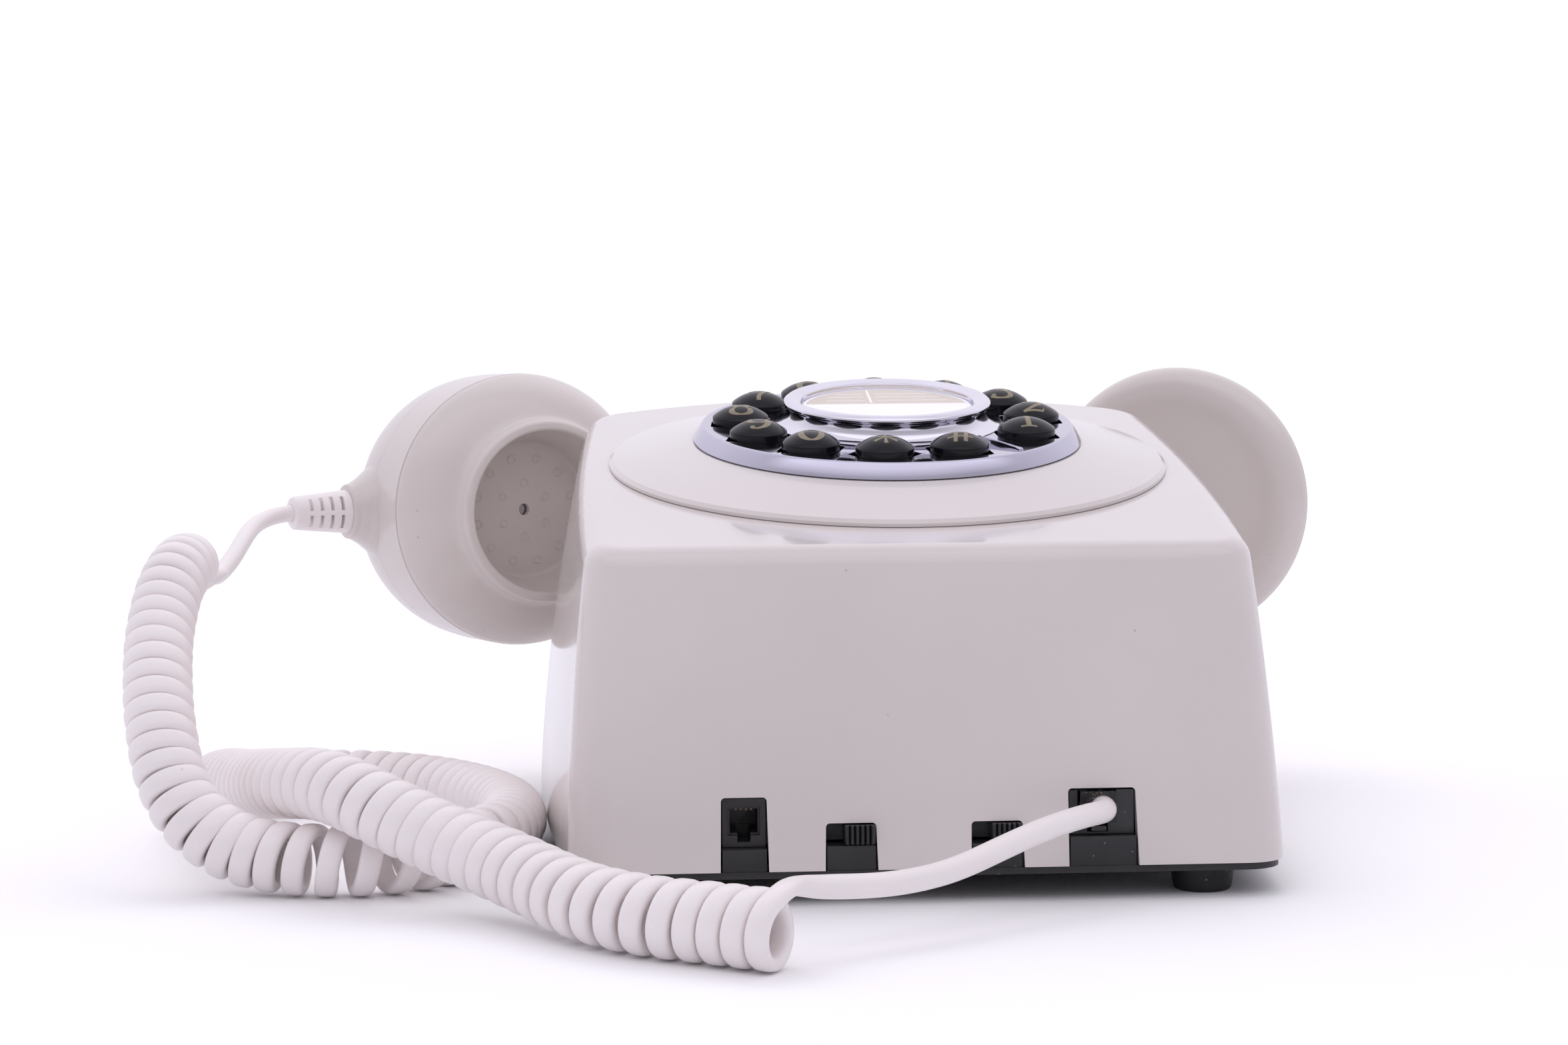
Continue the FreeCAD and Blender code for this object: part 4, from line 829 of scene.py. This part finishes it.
def numeral(name, strokes, frame):
    """Thin printed film that follows the key's dome."""
    verts, faces = [], []
    for order, (points, width, closed) in enumerate(strokes):
        p, u = stroke_line([(x * GLYPH_STRETCH[0], y * GLYPH_STRETCH[1] + GLYPH_SHIFT)
                            for x, y in points], closed)
        tangents = np.gradient(p, axis=0)
        if closed:
            tangents[0] = tangents[-1] = p[1] - p[-2]
        tangents = unit(tangents)
        across = np.stack([-tangents[:, 1], tangents[:, 0]], 1)
        if width is AUTO:
            widths = THIN + (THICK - THIN) * np.abs(tangents[:, 1]) ** 1.6
        elif isinstance(width, tuple):
            widths = np.interp(u, [0, 0.5, 1.0], width)
        else:
            widths = np.full(len(p), width)
        top = FILM_LIFT + STROKE_LIFT * order
        section = [(j, top) for j in range(STROKE_COLS + 1)]
        section += [(STROKE_COLS, -FILM_SINK), (0, -FILM_SINK)]
        start, rows, ring = len(verts), len(p), len(section)
        for i in range(rows):
            for j, lift in section:
                x, y = p[i] + across[i] * widths[i] * (j / STROKE_COLS - 0.5)
                verts.append(frame @ mm(x, y, dome_z(x, y) + lift))
        faces += band_faces(rows, ring, start)
        if not closed:
            faces += end_caps(rows, ring, start)
    return mesh_object(name, verts, faces, INK, sharp=40, weld=1e-7)


INK = print_ink("gold_print", (0.29, 0.245, 0.165))
for i, key in enumerate(KEYS):
    key_frame = Matrix.Translation(DIAL @ mm(*key_centre(i), 0)) @ DIAL_TILT
    cap = lathe("key_cap_" + key, KEY_PROFILE, key_frame, KEY_BLACK,
                segs=96, sharp=45)
    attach(cap, "key_" + key)
    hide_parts("key_" + key)
    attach(numeral("numeral_" + key, GLYPHS[key], key_frame), "key_" + key)

# ------------------------------------------------------------------ dial ring
RING_RADIUS, RING_HOLE = 42.4, 20.0
KEY_HOLE_RADIUS = 6.6
# pointed hexagon that gives each key hole an ear on both sides, and its turn in degrees
EAR_HEXAGON = ((8.1, 0), (5.35, 3.85), (-5.35, 3.85), (-8.1, 0), (-5.35, -3.85), (5.35, -3.85))
EAR_TURNS = (-31, -35, -35, -20, 0, 20, 32, 32, 25, 17, 0, -28)   # in the order of KEYS
# (push, z) steps down each edge
RING_EDGE = [
    (-0.75, 0.0), (-0.52, -0.02), (-0.32, -0.10), (-0.12, -0.28), (0.15, -0.62), (0.62, -1.25),
    (1.20, -2.15), (1.72, -3.1), (1.77, -3.32), (1.62, -3.4), (0.15, -3.4), (0.0, -3.25),
    (0.0, -1.5)]
CENTRE_EDGE = [(0.16, 0.0), (0.05, -0.05), (0.0, -0.16), (0.0, -1.5)]
KEY_HOLE_EDGE = [(0.16, 0.0), (0.08, -0.02), (0.02, -0.08), (0.0, -0.16), (0.0, -1.5)]


def eared_radius(turn):
    """Radius of a key hole as a function of angle: a round hole joined with the hexagon."""
    def radius_at(angle):
        best = KEY_HOLE_RADIUS
        cos, sin = math.cos(angle - turn), math.sin(angle - turn)
        for i, (x0, y0) in enumerate(EAR_HEXAGON):
            x1, y1 = EAR_HEXAGON[(i + 1) % 6]
            dx, dy = x1 - x0, y1 - y0
            cross = cos * dy - sin * dx
            if abs(cross) < 1e-9:
                continue
            r = (x0 * dy - y0 * dx) / cross
            u = (r * cos - x0) / dx if abs(dx) > abs(dy) else (r * sin - y0) / dy
            if r > 0 and -1e-6 <= u <= 1 + 1e-6:
                best = max(best, r)
        return best
    return radius_at


def dial_ring():
    outlines = [(circle(0, 0, RING_RADIUS, 240), RING_EDGE),
                (circle(0, 0, RING_HOLE, 160), CENTRE_EDGE)]
    for i, turn in enumerate(EAR_TURNS):
        hole = outline(*key_centre(i), eared_radius(math.radians(turn)), 120)
        outlines.append((hole, KEY_HOLE_EDGE))
    return holed_plate("dial_ring_plate", outlines, DIAL, CHROME)


# section of the finger stop as (share of half width, share of height)
STOP_SECTION = ((-1.0, 0.0), (-1.0, 0.55), (-0.8, 0.85), (-0.4, 0.98), (0.0, 1.0),
                (0.4, 0.98), (0.8, 0.85), (1.0, 0.55), (1.0, 0.0))
# (distance from the dial centre, half width, height)
STOP_ROWS = [(27.6, 0.10, 1.0), (28.2, 0.18, 1.45), (30.0, 0.20, 1.4), (35.0, 0.20, 1.05),
             (39.2, 0.24, 0.72), (40.1, 0.55, 0.66), (40.8, 0.60, 0.6), (41.1, 0.35, 0.4)]
STOP_ANGLE = -49.5        # degrees round the dial
STOP_SINK = 0.4           # how far it reaches into the ring


def finger_stop():
    """Soft-topped radial bar on the dial ring."""
    frame = DIAL @ Matrix.Rotation(math.radians(STOP_ANGLE), 4, "Z")
    verts = []
    for along, half_width, height in STOP_ROWS:
        for x, z in STOP_SECTION:
            verts.append(frame @ mm(along, x * half_width, z * (height + STOP_SINK) - STOP_SINK))
    size = len(STOP_ROWS), len(STOP_SECTION)
    faces = band_faces(*size) + end_caps(*size)
    return mesh_object("finger_stop", verts, faces, CHROME, sharp=60)


ring = dial_ring()
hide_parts("dial_ring")
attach(ring, "base")
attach(finger_stop(), "base")

# ------------------------------------------------------------------ hub bezel and window
HUB_COVE = smooth_profile([(25.9, 0.12), (25.0, 0.42), (24.1, 0.95), (23.35, 1.7), (22.95, 2.6),
                           (22.85, 3.5), (22.95, 4.1)], 22)
HUB_PROFILE = [(17.4, 0.03, 0), (25.9, 0.03, 0)] + HUB_COVE + [
    (23.5, 4.45, 0.35), (23.6, 5.2, 0.7), (22.6, 5.98, 0.8), (21.2, 5.95, 0.9),
    (19.9, 5.4, 0.4), (19.5, 5.1, 0.15), (19.5, 3.7, 0), (17.4, 3.7, 0)]
WINDOW_PROFILE = [(0, 4.12, 0), (19.3, 4.12, 0.08), (19.3, 4.75, 0.2), (18.2, 5.04, 0.6),
                  (12.0, 5.08, 0), (6.0, 5.1, 0), (0, 5.1, 0)]
hub = lathe("hub_bezel_turned", HUB_PROFILE, DIAL, HUB_CHROME,
            segs=192, sharp=55)
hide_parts("hub_bezel")
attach(hub, "base")
window = lathe("card_window_lens", WINDOW_PROFILE, DIAL, WINDOW,
               segs=160, sharp=50)
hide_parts("card_window")
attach(window, "base")

# ------------------------------------------------------------------ number card
# white sheet, tan over its rear half, with plain white rules on the tan
PAPER = satin_plastic("card_white", (0.95, 0.94, 0.97), rough=0.55, grain=2400, depth=0.00002,
                      vary=0.02, dust=0.0)
TAN = satin_plastic("card_tan", (0.60, 0.52, 0.38), rough=0.55, grain=2400, depth=0.00002,
                    vary=0.05, dust=0.0)
CARD_PROFILE = [(0, 3.75, 0), (19.2, 3.75, 0), (19.2, 4.03, 0), (0, 4.03, 0)]
TAN_RADIUS, TAN_FRONT = 18.4, 1.9     # radius of the tan area, y of its straight edge
RULE_WIDTH = 0.34
# (y, x0, x1) of the level rules
RULES = [(5.4, -13.5, -4.6), (9.4, -13.0, -4.6), (13.0, -10.6, -4.6),
         (5.4, -1.8, 14.2), (9.4, -1.8, 13.0), (13.0, -1.8, 10.2)]


def film(name, outlines, z0, z1, material):
    """Flat printed areas with a little body, from convex outlines."""
    verts, faces = [], []
    for points in outlines:
        start, count = len(verts), len(points)
        for z in (z0, z1):
            verts += [DIAL @ mm(x, y, z) for x, y in points]
        faces += end_caps(2, count, start) + band_faces(2, count, start)
    return mesh_object(name, verts, faces, material, sharp=30)


def rectangle(x0, y0, x1, y1):
    return [(x0, y0), (x1, y0), (x1, y1), (x0, y1)]


card = lathe("number_card_sheet", CARD_PROFILE, DIAL, PAPER, segs=160, sharp=30)
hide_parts("number_card")
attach(card, "base")
tan_start = math.degrees(math.asin(TAN_FRONT / TAN_RADIUS))
tan_outline = arc(0, 0, TAN_RADIUS, TAN_RADIUS, tan_start, 180 - tan_start, 60)
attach(film("card_tan_half", [tan_outline], 4.02, 4.06, TAN), "base")
rules = [rectangle(-3.55, 3.0, -3.05, 17.6)]
rules += [rectangle(x0, y, x1, y + RULE_WIDTH) for y, x0, x1 in RULES]
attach(film("card_rules", rules, 4.05, 4.09, PAPER), "base")

# ------------------------------------------------------------------ handset caps
# (radius, z, corner radius) rows in the cup frames; local Z points out of the cup
CAP_SKIRT = [(34.6, 0.12, 0.1), (32.0, 0.12, 0), (32.0, -6.0, 0.2), (30.0, -6.0, 0.2),
             (30.0, 1.8, 0.3)]
MOUTH_SHOULDER = smooth_profile(
    [(23.15, 14.0), (23.35, 12.9), (24.0, 11.75), (25.4, 10.75), (27.6, 9.5), (30.1, 7.6),
     (32.2, 5.3), (33.7, 3.0), (34.5, 1.3), (34.75, 0.35)], 40)
MOUTH_PROFILE = [
    (1.45, 1.4, 0.25), (17.3, 1.4, 1.1), (20.25, 15.4, 0.6), (20.6, 16.7, 1.1),
    (22.9, 16.5, 1.25)] + MOUTH_SHOULDER + CAP_SKIRT + [
    (24.6, 7.6, 0.5), (21.8, 8.6, 0.8), (19.6, -0.4, 0.3), (1.45, -0.4, 0)]
# small cups on the mouthpiece floor, in two circles: (circle radius, degrees)
PIP_PLACES = [(6.8, a) for a in range(30, 390, 60)] + [(13.3, a) for a in range(15, 375, 30)]
PIP_PROFILE = [(0, 1.2, 0), (1.1, 1.2, 0), (1.1, 1.66, 0.08), (0.82, 1.66, 0.08),
               (0.76, 1.46, 0.05), (0, 1.45, 0)]
GRID_RADIUS, GRID_TOP, GRID_UNDER = 4.3, 2.3, 0.9   # plate with holes amid the earpiece
GRID_HOLE, GRID_PITCH = 0.6, 2.4                    # hole radius, spacing from the middle hole
EAR_DISH = smooth_profile(
    [(GRID_RADIUS, GRID_TOP), (12.0, 2.35), (19.5, 2.75), (24.5, 3.9), (28.3, 5.15),
     (31.3, 4.95), (33.5, 3.3), (34.5, 1.6), (34.78, 0.35)], 60)
EAR_PROFILE = EAR_DISH + CAP_SKIRT + [(24.0, 1.5, 0.3), (12.0, 0.9, 0),
                                      (GRID_RADIUS, GRID_UNDER, 0)]

mouth = lathe("mouth_cap_turned", MOUTH_PROFILE, MOUTH, HANDSET,
              segs=192, sharp=40, split=1.2)
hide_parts("mouth_cap")
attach(mouth, "handset")
pips = lathe("mouth_floor_marks", PIP_PROFILE,
             [MOUTH @ Matrix.Translation(mm(*polar(*place), 0)) for place in PIP_PLACES],
             HANDSET, segs=28, sharp=50)
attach(pips, "handset")
ear = lathe("ear_cap_turned", EAR_PROFILE, EAR, HANDSET,
            segs=192, sharp=40, split=1.2)
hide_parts("ear_cap")
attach(ear, "handset")
grid = [(circle(0, 0, GRID_RADIUS, 64), [(0.0, GRID_TOP), (0.0, GRID_UNDER)])]
for x, y in [(0, 0)] + [polar(GRID_PITCH, a) for a in range(0, 360, 60)]:
    grid.append((circle(x, y, GRID_HOLE, 28),
                 [(0.14, GRID_TOP), (0.04, 2.26), (0.0, 2.14), (0.0, GRID_UNDER)]))
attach(holed_plate("ear_cap_grid", grid, EAR, HANDSET), "handset")

# ------------------------------------------------------------------ handset body
# full bell behind the mouthpiece, with a faint crease at its widest part
MOUTH_BELL = [(32.2, -0.12, 0), (34.86, -0.12, 0.25), (34.88, -15.1, 0), (34.72, -15.35, 0),
              (34.72, -15.6, 0)] + smooth_profile(
    [(34.78, -15.9), (34.7, -19.0), (34.25, -24.0), (32.9, -29.5), (29.8, -35.0),
     (24.6, -39.6), (17.0, -43.0), (8.5, -44.7), (0, -45.2)], 44) + [
    (0, -42.6, 0), (8.0, -42.1, 0), (16.0, -40.4, 0), (23.0, -37.2, 0), (27.6, -33.2, 0),
    (30.4, -28.6, 0), (31.7, -23.6, 0), (32.2, -16.0, 0)]
# slimmer bell behind the earpiece
EAR_BELL = [(32.0, -0.12, 0), (34.86, -0.12, 0.3)] + smooth_profile(
    [(34.55, -0.75), (34.0, -2.9), (32.9, -6.6), (31.2, -12.4), (28.8, -19.0), (25.2, -25.6),
     (19.6, -31.0), (11.0, -34.8), (0, -36.0)], 50) + [
    (0, -33.4, 0), (10.0, -32.2, 0), (18.0, -28.9, 0), (23.2, -23.9, 0), (26.6, -18.0, 0),
    (29.0, -12.0, 0), (30.8, -6.4, 0), (31.8, -2.6, 0)]
COLLAR_PROFILE = [(2.3, 30.0, 0), (12.8, 30.0, 0), (11.2, 33.2, 1.5), (8.6, 36.4, 3.0),
                  (7.3, 38.6, 1.5), (6.9, 40.0, 0.45), (2.3, 40.0, 0.1)]
HANDLE_X = (MOUTH_X + EAR_X) / 2
HANDLE_HALF = (EAR_X - MOUTH_X) / 2 - 3.0    # each end stops 3 mm short of the cup centre
HANDLE_Y, HANDLE_BOW = 117.0, 13.0    # y at the middle, and how far the ends come forward
HANDLE_DEPTH, HANDLE_HEIGHT = 11.0, 16.0   # half sizes of the section
HANDLE_STEPS, HANDLE_SEGS = 90, 72


def handset_handle():
    """Bar of nearly oval section that bows towards the back between the two bells."""
    verts = []
    for i in range(HANDLE_STEPS + 1):
        t = -1 + 2 * i / HANDLE_STEPS
        middle = Vector((HANDLE_X + t * HANDLE_HALF, HANDLE_Y - HANDLE_BOW * t * t, HANDSET_Z))
        slope = math.atan(-2 * HANDLE_BOW * t / HANDLE_HALF)
        across = Vector((-math.sin(slope), math.cos(slope), 0))
        for j in range(HANDLE_SEGS):
            a = 2 * math.pi * j / HANDLE_SEGS
            deep = HANDLE_DEPTH * signed_power(math.cos(a), 0.95)
            high = HANDLE_HEIGHT * signed_power(math.sin(a), 0.95)
            verts.append((middle + across * deep + Vector((0, 0, high))) / 1000)
    size = HANDLE_STEPS + 1, HANDLE_SEGS
    faces = band_faces(*size) + end_caps(*size)
    return mesh_object("handset_handle", verts, faces, HANDSET, sharp=50)


mouth_bell = lathe("mouth_bell_turned", MOUTH_BELL, MOUTH, HANDSET,
                   segs=192, sharp=30)
ear_bell = lathe("ear_bell_turned", EAR_BELL, EAR, HANDSET,
                 segs=192, sharp=30)
handle = handset_handle()
collar = lathe("boot_collar", COLLAR_PROFILE, BOOT, HANDSET, segs=96, sharp=40)
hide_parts("handset_shell")
for part in (mouth_bell, ear_bell, handle, collar):
    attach(part, "handset")

# ------------------------------------------------------------------ slide knobs
KNOB_FRONT, KNOB_BACK, KNOB_UNDER = -88.95, -83.1, 6.45   # y, y and z
KNOB_RIBS, RIB_DEPTH = 6, 0.75


def ribbed_knob(name, x0, x1, top):
    """Block with rounded upright ribs on its front face and softened upper and lower edges."""
    steps = KNOB_RIBS * 14
    line = []
    for i in range(steps + 1):
        groove = 1 - abs(math.sin(math.pi * KNOB_RIBS * i / steps)) ** 0.55
        line.append((x0 + (x1 - x0) * i / steps, KNOB_FRONT + RIB_DEPTH * groove))
    line += [(x1, KNOB_BACK), (x0, KNOB_BACK)]
    cx, cy = (x0 + x1) / 2, (KNOB_FRONT + KNOB_BACK) / 2
    # (z, inset)
    rows = ((KNOB_UNDER, 0.22), (KNOB_UNDER + 0.07, 0.07), (KNOB_UNDER + 0.22, 0.0),
            (top - 0.30, 0.0), (top - 0.10, 0.09), (top, 0.30))
    verts = []
    for z, inset in rows:
        scale_x = 1 - 2 * inset / (x1 - x0)
        scale_y = 1 - 2 * inset / (KNOB_BACK - KNOB_FRONT)
        verts += [mm(cx + (x - cx) * scale_x, cy + (y - cy) * scale_y, z) for x, y in line]
    size = len(rows), len(line)
    faces = band_faces(*size) + end_caps(*size)
    return mesh_object(name, verts, faces, KNOB, sharp=40)


for switch, x0, x1, top in (("ringer_switch", -17.1, -11.0, 10.3),
                            ("volume_switch", 12.0, 17.95, 10.2)):
    knob = ribbed_knob(switch + "_ribbed_knob", x0, x1, top)
    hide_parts(switch + "_knob")
    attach(knob, switch)

# ------------------------------------------------------------------ feet
FEET = [(-56, -78), (56, -78), (-62, 64), (62, 64)]
FOOT_PROFILE = [(0, 0, 0), (6.4, 0, 0.2), (6.0, -4.0, 0), (5.6, -FOOT_DEPTH, 1.1),
                (2.2, -FOOT_DEPTH, 0.4), (1.9, -5.0, 0.3), (0, -5.0, 0)]
feet = lathe("rubber_feet_turned", FOOT_PROFILE,
             [Matrix.Translation(mm(x, y, 0)) for x, y in FEET], FOOT,
             segs=64, sharp=45)
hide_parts("rubber_feet")
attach(feet, "base")


# ------------------------------------------------------------------ floor
def floor_material():
    """White table that bounces light like plain paper; camera rays see a diffuse colour above 1,
    painted light, that is weaker near the telephone.
    """
    material, g = new_material("floor_white")
    paper = g.add("BsdfPrincipled", {
        "Base Color": g.mottle((0.90, 0.90, 0.92), (0.93, 0.93, 0.945), scale=3, detail=2,
                               between=(0.3, 0.7)),
        "Roughness": 0.55, "Specular IOR Level": 0.25,
        "Normal": g.bump(g.noise(scale=700, detail=3), strength=0.15, distance=0.00008)})
    reach = g.add("VectorMath", {0: g.coords}, operation="LENGTH").outputs["Value"]
    near = g.mottle((1.06, 1.06, 1.06), (1.08, 1.08, 1.08), scale=3, detail=2,
                    between=(0.3, 0.7))
    # painted light for the camera, brighter away from the telephone, from 0.22 m to 0.8 m out; nearer
    # it the floor keeps more of its real shade
    white = g.mix(g.ramp(reach, (0.22, 0.8), (0, 1)), near, (1.5, 1.5, 1.5))
    seen = g.add("BsdfDiffuse", {"Color": white})
    g.surface(g.mix_shader(g.add("LightPath").outputs["Is Camera Ray"], paper, seen))
    return material


def stage_floor(half=4.0):
    mesh = bpy.data.meshes.new("floor")
    mesh.from_pydata([(x, y, 0) for x, y in rectangle(-half, -half, half, half)], [],
                     [(0, 1, 2, 3)])
    mesh.update()
    floor = bpy.data.objects.new("floor", mesh)
    floor.location = mm(0, 0, -FOOT_DEPTH)
    bpy.context.scene.collection.objects.link(floor)
    mesh.materials.append(floor_material())


stage_floor()


# ------------------------------------------------------------------ lights
def area_light(name, place, target, width, depth, power, color):
    """Rectangular lamp aimed at the target, hidden from reflections."""
    lamp = bpy.data.lights.new(name, "AREA")
    lamp.shape = "RECTANGLE"
    lamp.size, lamp.size_y = width, depth
    lamp.energy = power
    lamp.color = color
    holder = bpy.data.objects.new(name, lamp)
    holder.location = place
    aim = Vector(target) - Vector(place)
    holder.rotation_euler = aim.to_track_quat("-Z", "Y").to_euler()
    holder.visible_glossy = False
    bpy.context.scene.collection.objects.link(holder)


area_light("front_soft", place=(-0.15, -0.80, 0.80), target=(0, 0, 0.08), width=0.8,
           depth=0.35, power=0.8, color=(1, 0.985, 1.03))
area_light("top_soft", place=(0.0, 0.62, 1.05), target=(0, 0, 0.05), width=0.9, depth=0.9,
           power=2.6, color=(1, 0.985, 1.02))


def studio_world():
    """Even surround, brighter behind and overhead; plain white where the camera sees it."""
    world = bpy.data.worlds.new("studio")
    bpy.context.scene.world = world
    world.use_nodes = True
    g = Graph(world.node_tree)
    direction = g.add("SeparateXYZ", {0: g.add("TexCoord").outputs["Generated"]}).outputs
    behind = g.ramp(direction["Y"], (-0.55, 0.55), (0.53, 0.92))
    overhead = g.ramp(direction["Z"], (0.15, 0.85), (0.0, 0.15))
    ambient = g.calc("ADD", behind, overhead)
    rays = g.add("LightPath").outputs
    # a broad soft panel above the camera, seen only in polished surfaces
    high = g.ramp(direction["Z"], (0.50, 0.72), (0.0, 0.55))
    front = g.ramp(direction["Y"], (-0.25, -0.05), (1.0, 0.0))
    panel = g.calc("MULTIPLY", high, front)
    glow = g.calc("MULTIPLY_ADD", panel, rays["Is Glossy Ray"], ambient)
    strength = g.add("Mix", {"Factor": rays["Is Camera Ray"], "A": glow, "B": 1.05})
    color = g.mix(rays["Is Camera Ray"], (0.985, 0.955, 1.055), (1.0, 1.0, 1.0))
    background = g.tree.nodes["Background"]
    g.feed(background.inputs[0], color)
    g.feed(background.inputs[1], strength.outputs["Result"])


studio_world()

# ------------------------------------------------------------------ camera
CAMERA_PLACE = (-0.05676869761643117, -0.6151090049851136, 0.09593426887527187)
# the camera's own X, Y and Z axes; it looks along -Z
CAMERA_RIGHT = (0.9984813231426886, -0.05419853210329969, -0.009877573238067072)
CAMERA_UP = (0.0125092499987298, 0.04843388423955739, 0.9987480550779253)
CAMERA_BACK = (-0.05365226928746877, -0.9973548405534094, 0.04903831180809745)

camera = bpy.data.cameras.new("cam")
camera_object = bpy.data.objects.new("cam", camera)
bpy.context.scene.collection.objects.link(camera_object)
camera_object.matrix_world = axes_frame(CAMERA_PLACE, CAMERA_RIGHT, CAMERA_UP, CAMERA_BACK)
camera.sensor_width = 36.0
camera.lens = 62.1270759
camera.clip_start, camera.clip_end = 0.01, 50
bpy.context.scene.camera = camera_object
bpy.context.scene.view_settings.view_transform = "Standard"
